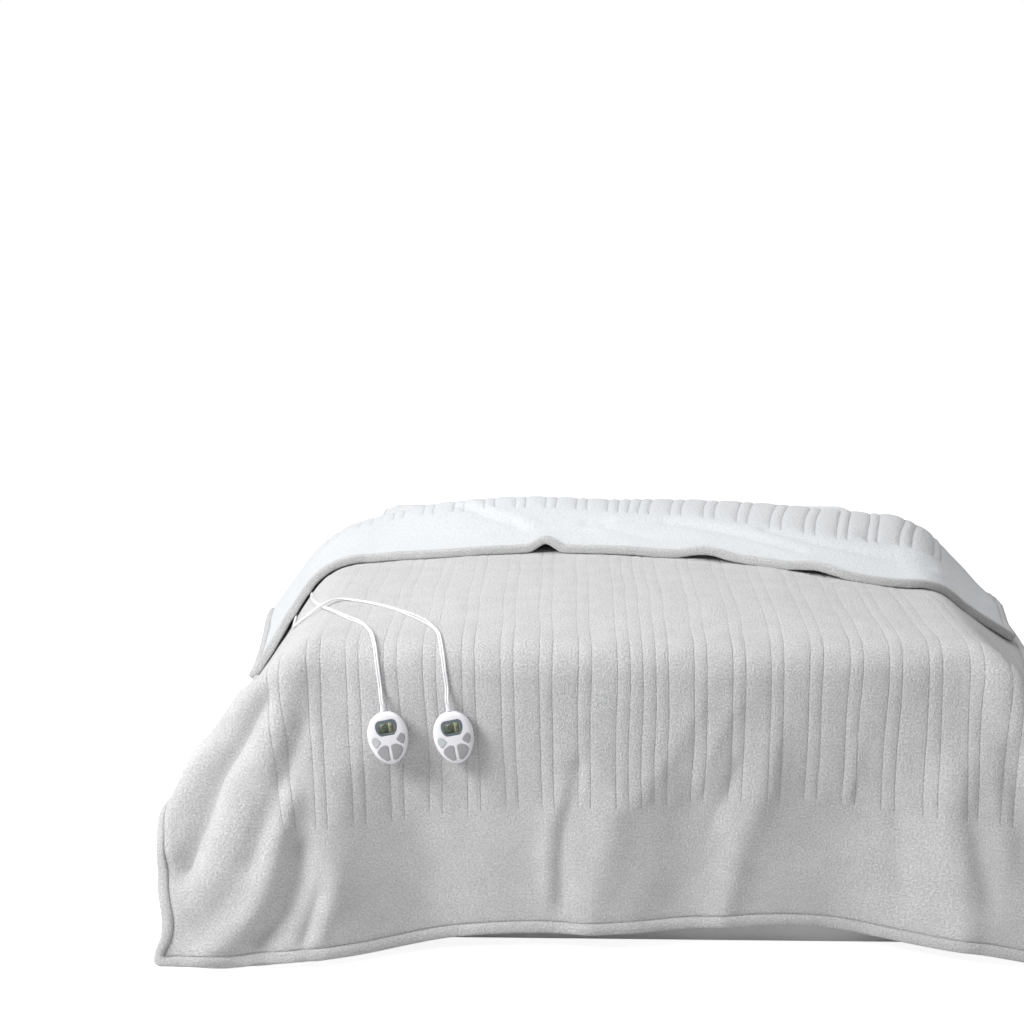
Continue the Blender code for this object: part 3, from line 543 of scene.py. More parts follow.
def lengths_of_fold(across):
    """Flat lengths at which the foot edge, the fold's start and its end lie."""
    fold, radius, _, overhang, stretch = fold_layout(across)
    return overhang, overhang + fold / stretch, overhang + (fold + math.pi * radius) / stretch


def across_direction(surface, across, length):
    """Unit steps out of a surface of the cloth, on its plush side."""
    step = 3 * MILLIMETRE
    sideways = surface(across + step, length) - surface(across - step, length)
    lengthways = surface(across, length + step) - surface(across, length - step)
    out = np.cross(sideways, lengthways)
    return out / np.linalg.norm(out, axis=-1)[..., None]


def distance_to_line(across, along, line):
    """Distance of each flat point from a line of straight pieces."""
    nearest = np.full(np.shape(across), np.inf)
    for (ax, ay), (bx, by) in zip(line, line[1:]):
        dx, dy = bx - ax, by - ay
        share = np.clip(((across - ax) * dx + (along - ay) * dy) / (dx * dx + dy * dy), 0, 1)
        nearest = np.minimum(nearest, np.hypot(across - ax - share * dx, along - ay - share * dy))
    return nearest


def ripples(across, length, height):
    """Loose, shallow waves in the cloth, from a fixed seed."""
    waves = np.random.RandomState(11)
    total = np.zeros(np.shape(across))
    for wavelength in RIPPLE_WAVELENGTHS:
        for _ in range(3):
            heading, start = waves.uniform(0, math.pi), waves.uniform(0, 2 * math.pi)
            reach = across * math.cos(heading) + length * math.sin(heading)
            total += np.sin(2 * math.pi * reach / wavelength + start) * wavelength / RIPPLE_WAVELENGTHS[0]
    return height * total / 2.4


def pulled(across, length):
    """Flat places of the cloth after it strays and is pulled along the surface that it lies on."""
    sideways, lengthways = np.zeros(np.shape(across)), np.zeros(np.shape(across))
    for move, wavelength, skew, start in STRAYS:
        sideways = sideways + move * np.sin(2 * math.pi * length / wavelength + skew * across + start)
    for (x, y), (reach_x, reach_y), (move_x, move_y) in PULLS:
        share = np.exp(-(((across - x) / reach_x) ** 2) - ((length - y) / reach_y) ** 2)
        sideways = sideways + move_x * share
        lengthways = lengthways + move_y * share
    return across + sideways, length + lengthways


def cloth_surface(across, length):
    """The middle of the cloth with its soft folds and ripples."""
    height = bpy.context.scene.blanket_cloth.ripple
    across, length = pulled(across, length)
    along = length - smooth(FOOT_OVERHANG, across)
    relief = ripples(across, length, height)
    for line, half_width, rise in SOFT_FOLDS:
        near = distance_to_line(across, along, line) / half_width
        strength = LEFT_FOLD_STRENGTH if line[0][0] < LEFT_CORNER else 1.0
        relief = relief + strength * rise * np.exp(-(near**2)) * (along < FOLD_END)
    from_head = BLANKET_LENGTH - length
    for line, half_width, rise in TURNED_CREASES:
        near = distance_to_line(across, from_head, line) / half_width
        relief = relief + rise * np.exp(-(near**2))
    return lay(across, length) + across_direction(lay, across, length) * relief[..., None]


def sewn_lines():
    """Distances from the middle at which the lines of stitching between the channels run."""
    lines = [0.0]
    for pair in range(CHANNEL_PAIRS):
        lines += [(3 * pair + 1) * CHANNEL_UNIT, (3 * pair + 2) * CHANNEL_UNIT]
    return lines


def spread(start, end, step):
    """Even places from start to end, without start, no more than step apart."""
    count = max(1, math.ceil((end - start) / step - 1e-6))
    return [start + (end - start) * (k + 1) / count for k in range(count)]


def cloth_columns():
    """Distances across the cloth of its columns of points, closer together at the sewn lines and the rim."""
    rim = BLANKET_WIDTH / 2 - BINDING_WIDTH
    half = [0.0]
    for line in sewn_lines():
        if line:
            half += spread(half[-1], line - SINK_EDGE, CHANNEL_COLUMNS)
        half += [line, line + SINK_EDGE] if line else [SINK_EDGE]
    half += spread(half[-1], rim - CORNER_RADIUS, MARGIN_COLUMNS)
    half += spread(half[-1], rim - RIM_SLOPE, CORNER_COLUMNS) + [rim - RIM_STEP, rim]
    return [-x for x in reversed(half[1:])] + half


def cloth_rows(across):
    """Flat lengths of the rows of one column. The rows follow the fold, which crosses the bed aslant."""
    rim = BLANKET_LENGTH - BINDING_WIDTH
    foot_edge, fold_start, fold_end = lengths_of_fold(across)
    foot_arc = EDGE_RADIUS * math.pi / 2
    rows = [BINDING_WIDTH, BINDING_WIDTH + RIM_STEP, BINDING_WIDTH + RIM_SLOPE]
    stops = (  # a length, and how many rows lead up to it
        (BINDING_WIDTH + CORNER_RADIUS, 3),
        (CHANNEL_MARGIN - 0.012, 12),
        (CHANNEL_MARGIN - 0.003, 1),
        (CHANNEL_MARGIN + 0.004, 1),
        (CHANNEL_MARGIN + 0.014, 1),
        (foot_edge - foot_arc, 20),
        (foot_edge, 9),
        (fold_start, 62),
        (fold_end, 12),
        (BLANKET_LENGTH - CHANNEL_MARGIN - 0.014, 12),
        (BLANKET_LENGTH - CHANNEL_MARGIN - 0.004, 1),
        (BLANKET_LENGTH - CHANNEL_MARGIN + 0.003, 1),
        (rim - CORNER_RADIUS, 14),
        (rim - RIM_SLOPE, 3),
        (rim - RIM_STEP, 1),
        (rim, 1),
    )
    for stop, count in stops:
        rows += [*np.linspace(rows[-1], stop, count + 1)[1:]]
    return rows


def round_corner(points, grow=0.0):
    """Moves points of the square cloth onto its rounded corners. Grow widens the outline evenly."""
    inner_x = BLANKET_WIDTH / 2 - BINDING_WIDTH - CORNER_RADIUS
    inner_low = BINDING_WIDTH + CORNER_RADIUS
    low, high = np.array([-inner_x, inner_low]), np.array([inner_x, BLANKET_LENGTH - inner_low])
    core = np.clip(points, low, high)
    past = points - core
    size = np.abs(past).max(axis=-1, keepdims=True)
    away = past / np.maximum(np.linalg.norm(past, axis=-1, keepdims=True), 1e-9)
    return core + away * size * (1 + grow / CORNER_RADIUS)


def fullness(across, length, sunk):
    """Thickness share of one side: full between the sewn lines, sunk on them and where the binding starts."""
    away = np.abs(across)
    distance = np.min([np.abs(away - line) for line in sewn_lines()], axis=0)
    from_end = np.minimum(length, BLANKET_LENGTH - length) - CHANNEL_MARGIN
    inside = ease(from_end / CHANNEL_END) * (away < max(sewn_lines()) + CHANNEL_END)
    taut = ease((length - TAUT_START) / TAUT_EASE) * ease((TAUT_END - length) / TAUT_EASE)
    puffed = 1 - sunk * (1 - 0.5 * taut) * np.exp(-distance / SINK_WIDTH)
    rim_x = BLANKET_WIDTH / 2 - BINDING_WIDTH
    from_rim = np.minimum(rim_x - away, np.minimum(length, BLANKET_LENGTH - length) - BINDING_WIDTH)
    plain = 0.86 * (0.62 + 0.38 * ease(from_rim / RIM_SLOPE))
    return plain + (puffed - plain) * inside


# ---- Meshes and materials


def add_object(name, mesh, *finishes):
    """An object at the origin with its finishes, in the scene."""
    obj = bpy.data.objects.new(name, mesh)
    for finish in finishes:
        obj.data.materials.append(finish)
    bpy.context.scene.collection.objects.link(obj)
    return obj


def mesh_from(bm, name):
    """A smooth-shaded mesh, which uses up the bmesh."""
    mesh = bpy.data.meshes.new(name)
    bm.to_mesh(mesh)
    bm.free()
    mesh.shade_smooth()
    return mesh


def settle(obj):
    """The object's evaluated shape as its own plain mesh, with no modifiers left."""
    evaluated = obj.evaluated_get(bpy.context.evaluated_depsgraph_get())
    mesh = bpy.data.meshes.new_from_object(evaluated)
    obj.modifiers.clear()
    mesh.name = obj.name
    obj.data = mesh
    return obj


def dress(obj, body, *nodes, slot=None):
    """Lets a finished piece ride on its body in place of its plain solids."""
    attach(obj, body)
    if nodes:
        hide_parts(*nodes)
    return obj


def tube_mesh(name, rings, closed):
    """A skin over rings of points. An open tube gets flat ends. It carries its own run in metres as UVs."""
    rings = np.asarray(rings)
    count, around = rings.shape[:2]
    bm = bmesh.new()
    uv = bm.loops.layers.uv.new("run")
    made = [[bm.verts.new(point) for point in ring] for ring in rings]
    steps = np.linalg.norm(np.diff(rings.mean(axis=1), axis=0), axis=1)
    run = np.concatenate([[0.0], np.cumsum(steps)])
    girth = np.concatenate([[0.0], np.cumsum(np.linalg.norm(rings[0] - np.roll(rings[0], -1, axis=0), axis=1))])
    last = run[-1] + np.linalg.norm(rings[-1].mean(axis=0) - rings[0].mean(axis=0))
    for i in range(count if closed else count - 1):
        after = (i + 1) % count
        start, end = run[i], run[after] if after else last
        for k in range(around):
            following = (k + 1) % around
            face = bm.faces.new((made[i][k], made[after][k], made[after][following], made[i][following]))
            corners = ((start, girth[k]), (end, girth[k]), (end, girth[k + 1]), (start, girth[k + 1]))
            for loop, corner in zip(face.loops, corners):
                loop[uv].uv = corner
    if not closed:
        bm.faces.new(made[0])
        bm.faces.new(list(reversed(made[-1])))
    bmesh.ops.recalc_face_normals(bm, faces=bm.faces)
    return mesh_from(bm, name)


def add_node(tree, kind, inputs=None, **settings):
    """Adds a node to a tree, sets its settings, and sets or links its inputs. A node given for an input is
    linked from its first output."""
    made = tree.nodes.new(kind)
    for name, value in settings.items():
        setattr(made, name, value)
    for key, value in (inputs or {}).items():
        if isinstance(value, bpy.types.Node):
            value = value.outputs[0]
        if isinstance(value, bpy.types.NodeSocket):
            tree.links.new(value, made.inputs[key])
        else:
            made.inputs[key].default_value = value
    return made


def shade_of(colour, share=1.0):
    """A colour darkened to a share of itself, and opaque."""
    return (*(c * share for c in colour), 1.0)


def new_material(name, roughness, **constants):
    """A material and its shader. The constants are set on the shader's own sockets."""
    made = bpy.data.materials.new(name)
    made.use_nodes = True
    shader = made.node_tree.nodes["Principled BSDF"]
    shader.inputs["Roughness"].default_value = roughness
    for key, value in constants.items():
        shader.inputs[key.replace("_", " ")].default_value = value
    return made, made.node_tree, shader


def finish_surface(tree, shader, colour, height, distance, strength=1.0):
    """Gives a shader its colour, and a relief of a height in metres."""
    tree.links.new(colour, shader.inputs["Base Color"])
    bump = add_node(tree, "ShaderNodeBump", {"Height": height, "Distance": distance, "Strength": strength})
    tree.links.new(bump.outputs[0], shader.inputs["Normal"])


def sewn_share(tree, place):
    """1 on the lines of stitching between the channels and 0 away from them, and the place's two parts."""
    apart = add_node(tree, "ShaderNodeSeparateXYZ", {0: place})
    away = add_node(tree, MATH, {0: apart.outputs[0]}, operation="ABSOLUTE")
    units = add_node(tree, MATH, {0: away, 1: 1 / CHANNEL_UNIT}, operation="MULTIPLY")
    in_set = add_node(tree, MATH, {0: units, 1: 3.0}, operation="MODULO")
    from_centre = add_node(tree, MATH, {0: in_set, 1: 1.5}, operation="SUBTRACT")
    from_centre = add_node(tree, MATH, {0: from_centre}, operation="ABSOLUTE")
    off_line = add_node(tree, MATH, {0: from_centre, 1: 0.5}, operation="SUBTRACT")
    off_line = add_node(tree, MATH, {0: off_line}, operation="ABSOLUTE")
    nearest = add_node(tree, MATH, {0: off_line, 1: units}, operation="MINIMUM")
    nearest = add_node(tree, MATH, {0: nearest, 1: CHANNEL_UNIT}, operation="MULTIPLY")
    on_line = add_node(tree, MAP_RANGE, {"Value": nearest, "From Min": 0.0024, "From Max": 0.0004})
    from_middle = add_node(tree, MATH, {0: apart.outputs[1], 1: BLANKET_LENGTH / 2}, operation="SUBTRACT")
    from_middle = add_node(tree, MATH, {0: from_middle}, operation="ABSOLUTE")
    ends = add_node(tree, MATH, {0: from_middle, 1: BLANKET_LENGTH / 2 - CHANNEL_MARGIN}, operation="LESS_THAN")
    sides = add_node(tree, MATH, {0: units, 1: 3 * CHANNEL_PAIRS - 0.5}, operation="LESS_THAN")
    heated = add_node(tree, MATH, {0: ends, 1: sides}, operation="MULTIPLY")
    return add_node(tree, MATH, {0: on_line, 1: heated}, operation="MULTIPLY"), apart


def plush_material(name, settings, place_map, shade=1.0):
    """Short brushed plush: the soft sheen lights the folds' edges, and the tufts give the fine mottle."""
    made, tree, shader = new_material(
        name, 0.95, Sheen_Weight=0.35, Sheen_Roughness=0.45, Specular_IOR_Level=0.15
    )
    place = add_node(tree, "ShaderNodeUVMap", uv_map=place_map)
    tufts, fine, brushed = (
        add_node(
            tree, NOISE, {"Vector": place, "Scale": 1 / size, "Detail": detail, "Roughness": roughness}
        ).outputs["Fac"]
        for size, detail, roughness in (
            (settings.grain, 3.0, 0.7),
            (settings.grain * 0.35, 1.0, 0.55),
            (BRUSHED_PATCH, 3.0, 0.55),
        )
    )
    tufts = add_node(tree, MAP_RANGE, {"Value": tufts, "From Min": 0.36, "From Max": 0.64})
    brushed = add_node(tree, MAP_RANGE, {"Value": brushed, "From Min": 0.35, "From Max": 0.65})
    share = add_node(tree, MATH, {0: brushed, 1: 0.14}, operation="MULTIPLY")
    share = add_node(tree, MATH, {0: tufts, 1: 0.86, 2: share}, operation="MULTIPLY_ADD")
    deep, light = shade_of(settings.plush_depth, shade), shade_of(settings.plush, shade)
    colour = add_node(tree, MIX, {"Factor": share, 6: deep, 7: light}, data_type="RGBA").outputs[2]
    height = add_node(tree, MATH, {0: fine, 1: 0.35, 2: tufts}, operation="MULTIPLY_ADD")
    if place_map == "cloth":
        sewn, apart = sewn_share(tree, place)
        dash = add_node(tree, MATH, {0: apart.outputs[1], 1: 1 / DASH_SPACING}, operation="MULTIPLY")
        dash = add_node(tree, MATH, {0: dash}, operation="FRACT")
        thread = add_node(tree, MATH, {0: dash, 1: -0.3, 2: 1.0}, operation="MULTIPLY_ADD")
        thread = add_node(tree, MATH, {0: sewn, 1: thread}, operation="MULTIPLY")
        taut = add_node(tree, MAP_RANGE, {"Value": apart.outputs[1], "From Min": 0.60, "From Max": 0.78})
        taut = add_node(tree, MATH, {0: taut, 1: -0.65, 2: 1.0}, operation="MULTIPLY_ADD")
        thread = add_node(tree, MATH, {0: thread, 1: taut}, operation="MULTIPLY")
        # Painted shade: the sewn lines' hollows are darkened towards a deeper grey, broken by the stitches' dashes,
        # and less where the plush lies taut over the top.
        sewn_shade_share = add_node(tree, MATH, {0: thread, 1: 0.22}, operation="MULTIPLY")
        painted_sewn_shade = shade_of(settings.plush_depth, shade * 0.72)
        colour = add_node(tree, MIX, {"Factor": sewn_shade_share, 6: colour, 7: painted_sewn_shade}, data_type="RGBA").outputs[2]
        height = add_node(tree, MATH, {0: thread, 1: -0.9, 2: height}, operation="MULTIPLY_ADD")
    finish_surface(tree, shader, colour, height.outputs[0], 0.0024, 0.9)
    return made


def sherpa_material(settings):
    """Curly white sherpa: round curls with soft shade between them, matt and a little fluffy."""
    made, tree, shader = new_material(
        "white sherpa", 0.98, Sheen_Weight=0.3, Sheen_Roughness=0.6, Specular_IOR_Level=0.1
    )
    place = add_node(tree, "ShaderNodeUVMap", uv_map="cloth")
    sway = add_node(tree, NOISE, {"Vector": place, "Scale": 90.0, "Detail": 2.0}).outputs["Color"]
    moved = add_node(tree, MIX, {"Factor": 0.006, 4: place, 5: sway}, data_type="VECTOR").outputs[1]
    curls = add_node(
        tree,
        "ShaderNodeTexVoronoi",
        {"Vector": moved, "Scale": 1 / settings.curl, "Smoothness": 0.8},
        feature="SMOOTH_F1",
    ).outputs["Distance"]
    curl = add_node(tree, MAP_RANGE, {"Value": curls, "From Min": 0.75, "From Max": 0.1})
    wool = add_node(
        tree, NOISE, {"Vector": place, "Scale": 1 / WOOL_GRAIN, "Detail": 3.0, "Roughness": 0.6}
    ).outputs["Fac"]
    height = add_node(tree, MATH, {0: wool, 1: 0.5, 2: curl}, operation="MULTIPLY_ADD")
    share = add_node(tree, MAP_RANGE, {"Value": height, "From Min": 0.15, "From Max": 1.0})
    deep, light = shade_of(settings.sherpa_depth), shade_of(settings.sherpa)
    colour = add_node(tree, MIX, {"Factor": share, 6: deep, 7: light}, data_type="RGBA").outputs[2]
    sewn, apart = sewn_share(tree, place)
    # Painted shade: a mask that grows from 0.24 m to 0.31 m from the head edge and from 0.35 m left of the middle to
    # 0.10 m right of it, which greys the sherpa towards the plush's tone near the far fold.
    far_fold_shade = [
        add_node(tree, MAP_RANGE, {"Value": apart.outputs[axis], "From Min": low, "From Max": high})
        for axis, low, high in ((1, BLANKET_LENGTH - 0.24, BLANKET_LENGTH - 0.31), (0, -0.35, 0.10))
    ]
    far_fold_shade = add_node(tree, MATH, {0: far_fold_shade[0], 1: far_fold_shade[1]}, operation="MULTIPLY")
    for share, strength, tone in (
        (far_fold_shade, 0.35, shade_of(settings.plush_depth, 0.8)),
        # Painted shade in the hollows of the sewn lines.
        (sewn, 0.45, shade_of(settings.sherpa_depth, 0.62)),
    ):
        share = add_node(tree, MATH, {0: share, 1: strength}, operation="MULTIPLY")
        colour = add_node(tree, MIX, {"Factor": share, 6: colour, 7: tone}, data_type="RGBA").outputs[2]
    height = add_node(tree, MATH, {0: sewn, 1: -0.9, 2: height}, operation="MULTIPLY_ADD")
    finish_surface(tree, shader, colour, height.outputs[0], 0.0018, 0.6)
    return made


def thread_material(settings):
    """Twisted polyester thread in the binding's grey, a little shinier than the pile. Its twist turns every
    0.35 mm."""
    made, tree, shader = new_material("grey thread", 0.55, Sheen_Weight=0.2)
    place = add_node(tree, "ShaderNodeTexCoord").outputs["Object"]
    twist = add_node(
        tree, "ShaderNodeTexWave", {"Vector": place, "Scale": 900.0, "Distortion": 2.0}
    ).outputs["Fac"]
    deep, light = shade_of(settings.plush_depth, 0.8), shade_of(settings.plush_depth)
    colour = add_node(tree, MIX, {"Factor": twist, 6: deep, 7: light}, data_type="RGBA").outputs[2]
    finish_surface(tree, shader, colour, twist, 0.0002)
    return made


def woven_material(name, colour, thread, quilt=0.0):
    """Plain woven cloth: crossed threads a size apart, with the soft hollows of quilting where it has any."""
    made, tree, shader = new_material(name, 0.85, Sheen_Weight=0.15, Specular_IOR_Level=0.25)
    place = add_node(tree, "ShaderNodeTexCoord").outputs["Object"]
    waves = [
        add_node(
            tree,
            "ShaderNodeTexWave",
            {"Vector": place, "Scale": math.pi / (10 * thread), "Distortion": 0.6, "Detail": 1.0},
            bands_direction=direction,
        ).outputs["Fac"]
        for direction in ("X", "Y", "Z")
    ]
    weave = add_node(tree, MATH, {0: waves[0], 1: waves[1]}, operation="ADD")
    weave = add_node(tree, MATH, {0: weave, 1: waves[2]}, operation="ADD")
    weave = add_node(tree, MATH, {0: weave, 1: 0.33}, operation="MULTIPLY")
    slub = add_node(
        tree, NOISE, {"Vector": place, "Scale": 1 / SLUB_LENGTH, "Detail": 3.0, "Roughness": 0.55}
    ).outputs["Fac"]
    share = add_node(tree, MATH, {0: slub, 1: 0.5}, operation="MULTIPLY")
    share = add_node(tree, MATH, {0: weave, 1: 0.5, 2: share}, operation="MULTIPLY_ADD")
    deep, light = shade_of(colour, 0.86), shade_of(colour)
    tone = add_node(tree, MIX, {"Factor": share, 6: deep, 7: light}, data_type="RGBA").outputs[2]
    height = add_node(tree, MATH, {0: weave, 1: 0.0004}, operation="MULTIPLY")
    if quilt:
        apart = add_node(tree, "ShaderNodeSeparateXYZ", {0: place})
        for sign in (1.0, -1.0):
            line = add_node(
                tree, MATH, {0: apart.outputs[1], 1: sign, 2: apart.outputs[0]}, operation="MULTIPLY_ADD"
            )
            line = add_node(tree, MATH, {0: line, 1: math.pi / quilt}, operation="MULTIPLY")
            line = add_node(tree, MATH, {0: line}, operation="SINE")
            line = add_node(tree, MATH, {0: line}, operation="ABSOLUTE")
            puff = add_node(tree, MAP_RANGE, {"Value": line, "From Min": 0.0, "From Max": 0.5})
            height = add_node(tree, MATH, {0: puff, 1: QUILT_DEPTH, 2: height}, operation="MULTIPLY_ADD")
    finish_surface(tree, shader, tone, height.outputs[0], 1.0, 0.8)
    return made


def plastic_material(name, colour, roughness, coat=0.0, pore=SHELL_PORE):
    """Moulded plastic: a faint moulding grain breaks the gloss, and slight cloudiness keeps it from one tone."""
    made, tree, shader = new_material(name, roughness, Coat_Weight=coat, Coat_Roughness=0.12)
    place = add_node(tree, "ShaderNodeTexCoord").outputs["Object"]
    cloud, grain = (
        add_node(
            tree, NOISE, {"Vector": place, "Scale": 1 / size, "Detail": 2.0, "Roughness": 0.55}
        ).outputs["Fac"]
        for size in (0.02, pore)
    )
    deep, light = shade_of(colour, 0.95), shade_of(colour)
    tone = add_node(tree, MIX, {"Factor": cloud, 6: deep, 7: light}, data_type="RGBA").outputs[2]
    gloss = add_node(
        tree, MAP_RANGE, {"Value": grain, "To Min": roughness * 0.8, "To Max": roughness * 1.25}
    )
    tree.links.new(gloss.outputs[0], shader.inputs["Roughness"])
    finish_surface(tree, shader, tone, grain, 0.00004)
    return made


def display_material(name, colour):
    """A liquid-crystal panel under clear acrylic: matt and dim, with a fine cell grid."""
    made, tree, shader = new_material(name, 0.5, Coat_Weight=0.15, Coat_Roughness=0.2)
    place = add_node(tree, "ShaderNodeTexCoord").outputs["Object"]
    cells = add_node(tree, "ShaderNodeTexVoronoi", {"Vector": place, "Scale": 1 / DISPLAY_CELL}).outputs["Distance"]
    light, deep = shade_of(colour), shade_of(colour, 0.82)
    tone = add_node(tree, MIX, {"Factor": cells, 6: light, 7: deep}, data_type="RGBA").outputs[2]
    tree.links.new(tone, shader.inputs["Base Color"])
    return made


# ---- Leads


def case_frame(across, along):
    """The matrix of a controller: its back just clears the cloth that it hangs against, its top leans left."""
    step = 0.01
    place = Vector(drape(across, along))
    right = Vector(drape(across + step, along) - drape(across - step, along))
    up = Vector(drape(across, along + step) - drape(across, along - step)).normalized()
    out = right.cross(up).normalized()
    right = up.cross(out)
    reach = np.linspace(-1, 1, 9)
    around = drape(across + reach[:, None] * CASE_WIDTH / 2, along + reach[None, :] * CASE_LENGTH / 2)
    highest = ((around - np.array(place)) @ np.array(out)).max()
    place += out * (highest + CREST_THICKNESS / 2 - CASE_SETTLE)
    turned = Matrix((right, up, out)).transposed().to_4x4()
    return Matrix.Translation(place) @ turned @ Matrix.Rotation(CASE_TILT, 4, "Z")


def strand_route(side, hand):
    """One strand's centre line: out of the strain relief, then along the lead's place on the cloth."""
    place = case_frame(*CONTROLLERS[side])
    route = np.array(LEADS[side])
    heading = np.gradient(route[:, :2], axis=0)
    heading /= np.linalg.norm(heading, axis=1)[:, None]
    across = route[:, 0] + hand * heading[:, 1] * route[:, 2]
    along = route[:, 1] - hand * heading[:, 0] * route[:, 2]
    leave = CASE_LENGTH / 2 + GLAND_LENGTH + GLAND_GAP + 2 * TOUCH_GAP
    first = [
        place @ Vector((hand * LEAD_SPREAD, leave + ahead, GLAND_HEIGHT - drop))
        for ahead, drop in ((0.0, 0.0), (0.008, 0.0008))
    ]
    return np.array([*first, *drape(across, along, LEAD_LIFT + route[:, 3])])


def rounded_route(points, pieces=4):
    """More points on a smooth curve through a route's points."""
    run = np.concatenate([[0.0], np.cumsum(np.linalg.norm(np.diff(points, axis=0), axis=1))])
    at = np.concatenate(
        [np.linspace(a, b, pieces, endpoint=False) for a, b in zip(run, run[1:])] + [run[-1:]]
    )
    return np.stack([smooth(list(zip(run, points[:, k])), at) for k in range(3)], axis=-1)


class AddLeads(bpy.types.Operator):
    """Add the controllers' white leads, each of two strands side by side"""

    bl_idname = "heated_blanket.add_leads"
    bl_label = "Leads"

    def execute(self, context):
        settings = context.scene.blanket_controllers
        finish = plastic_material("white lead sleeve", settings.lead, 0.42, pore=LEAD_PORE)
        for side in CONTROLLERS:
            for hand, label in ((-1, "1"), (1, "2")):
                points = rounded_route(strand_route(side, hand))
                name = f"{side}_lead_sleeve_{label}"
                curve = bpy.data.curves.new(name, "CURVE")
                curve.dimensions = "3D"
                curve.bevel_depth = LEAD_DIAMETER / 2
                curve.bevel_resolution = 4
                curve.use_fill_caps = True
                spline = curve.splines.new("POLY")
                spline.points.add(len(points) - 1)
                for point, place in zip(spline.points, points):
                    point.co = (*place, 1.0)
                strand = dress(add_object(name, curve, finish), BED, f"{side}_lead_strand_{label}", slot="lead")
        return {"FINISHED"}


# ---- Blanket


def cloth_grid():
    """The flat places of the cloth's grid: columns, rows, and (across, length)."""
    columns = cloth_columns()
    return np.array([[(x, y) for y in cloth_rows(x)] for x in columns])


def rim_of(grid):
    """The outer points of a grid in order, counter-clockwise from the foot's left corner."""
    return np.concatenate([grid[:, 0], grid[-1, 1:-1], grid[::-1, -1], grid[0, -2:0:-1]])


class AddBlanket(bpy.types.Operator):
    """Add the blanket's cloth: plush face, sherpa back, sewn channels and soft folds"""

    bl_idname = "heated_blanket.add_blanket"
    bl_label = "Blanket"

    def execute(self, context):
        settings = context.scene.blanket_cloth
        flat = round_corner(cloth_grid())
        across, length = flat[..., 0], flat[..., 1]
        middle = cloth_surface(across, length)
        out = across_direction(cloth_surface, across, length)
        above, below = (
            out * fullness(across, length, sunk)[..., None] * CREST_THICKNESS / 2
            for sunk in (PLUSH_SINK, SHERPA_SINK)
        )
        columns, rows = across.shape
        places = np.concatenate([(middle + above).reshape(-1, 3), (middle - below).reshape(-1, 3)])
        index = np.arange(columns * rows).reshape(columns, rows)
        plush = np.stack([index[:-1, :-1], index[1:, :-1], index[1:, 1:], index[:-1, 1:]], axis=-1).reshape(-1, 4)
        sherpa = plush[:, ::-1] + columns * rows
        rim = rim_of(index)
        following = np.roll(rim, -1)
        wall = np.stack([rim, rim + columns * rows, following + columns * rows, following], axis=-1)
        faces = np.concatenate([plush, sherpa, wall])
        mesh = bpy.data.meshes.new("blanket_cloth")
        mesh.from_pydata(places.tolist(), [], faces.tolist())
        uv = mesh.uv_layers.new(name="cloth")
        coordinates = np.tile(flat.reshape(-1, 2), (2, 1))[faces.ravel()]
        uv.data.foreach_set("uv", coordinates.astype(np.float32).ravel())
        finish = np.concatenate([np.zeros(len(plush)), np.ones(len(sherpa) + len(wall))]).astype(np.int32)
        mesh.polygons.foreach_set("material_index", finish)
        mesh.update()
        mesh.shade_smooth()
        cloth = add_object(
            "blanket_cloth", mesh, plush_material("light grey plush", settings, "cloth"), sherpa_material(settings)
        )
        dress(cloth, BED, "blanket", slot="plush")
        return {"FINISHED"}


def binding_rings():
    """Rings of the binding round the whole rim: start points, steps outwards and upwards."""
    square = rim_of(cloth_grid())
    rim, inner, outer = (round_corner(square, grow) for grow in (0.0, -0.0005, BINDING_WIDTH))
    start = cloth_surface(inner[:, 0], inner[:, 1])
    outward = cloth_surface(outer[:, 0], outer[:, 1]) - start
    width = np.linalg.norm(outward, axis=1)[:, None]
    upward = across_direction(cloth_surface, rim[:, 0], rim[:, 1])
    return start, outward / width, upward


class AddBinding(bpy.types.Operator):
    """Add the soft rolled binding round the blanket's rim"""

    bl_idname = "heated_blanket.add_binding"
    bl_label = "Binding"

    def execute(self, context):
        settings = context.scene.blanket_cloth
        start, outward, upward = binding_rings()
        run = np.concatenate([[0.0], np.cumsum(np.linalg.norm(np.diff(start, axis=0), axis=1))])
        puff = 1 + 0.025 * np.sin(run * 2 * math.pi / 0.021) + 0.03 * np.sin(run * 2 * math.pi / 0.067 + 1.3)
        section = [*BINDING_SECTION, (1.0, 0.0), *((u, -v) for u, v in reversed(BINDING_SECTION))]
        rings = [
            start + outward * (u * BINDING_WIDTH * 0.985) + upward * (v * BINDING_PUFF / 2 * puff)[:, None]
            for u, v in section
        ]
        mesh = tube_mesh("blanket_binding", np.stack(rings, axis=1), closed=True)
        binding = add_object("blanket_binding", mesh, plush_material("grey plush binding", settings, "run", 0.95))
        dress(binding, BED, "binding", slot="binding_cloth")
        return {"FINISHED"}


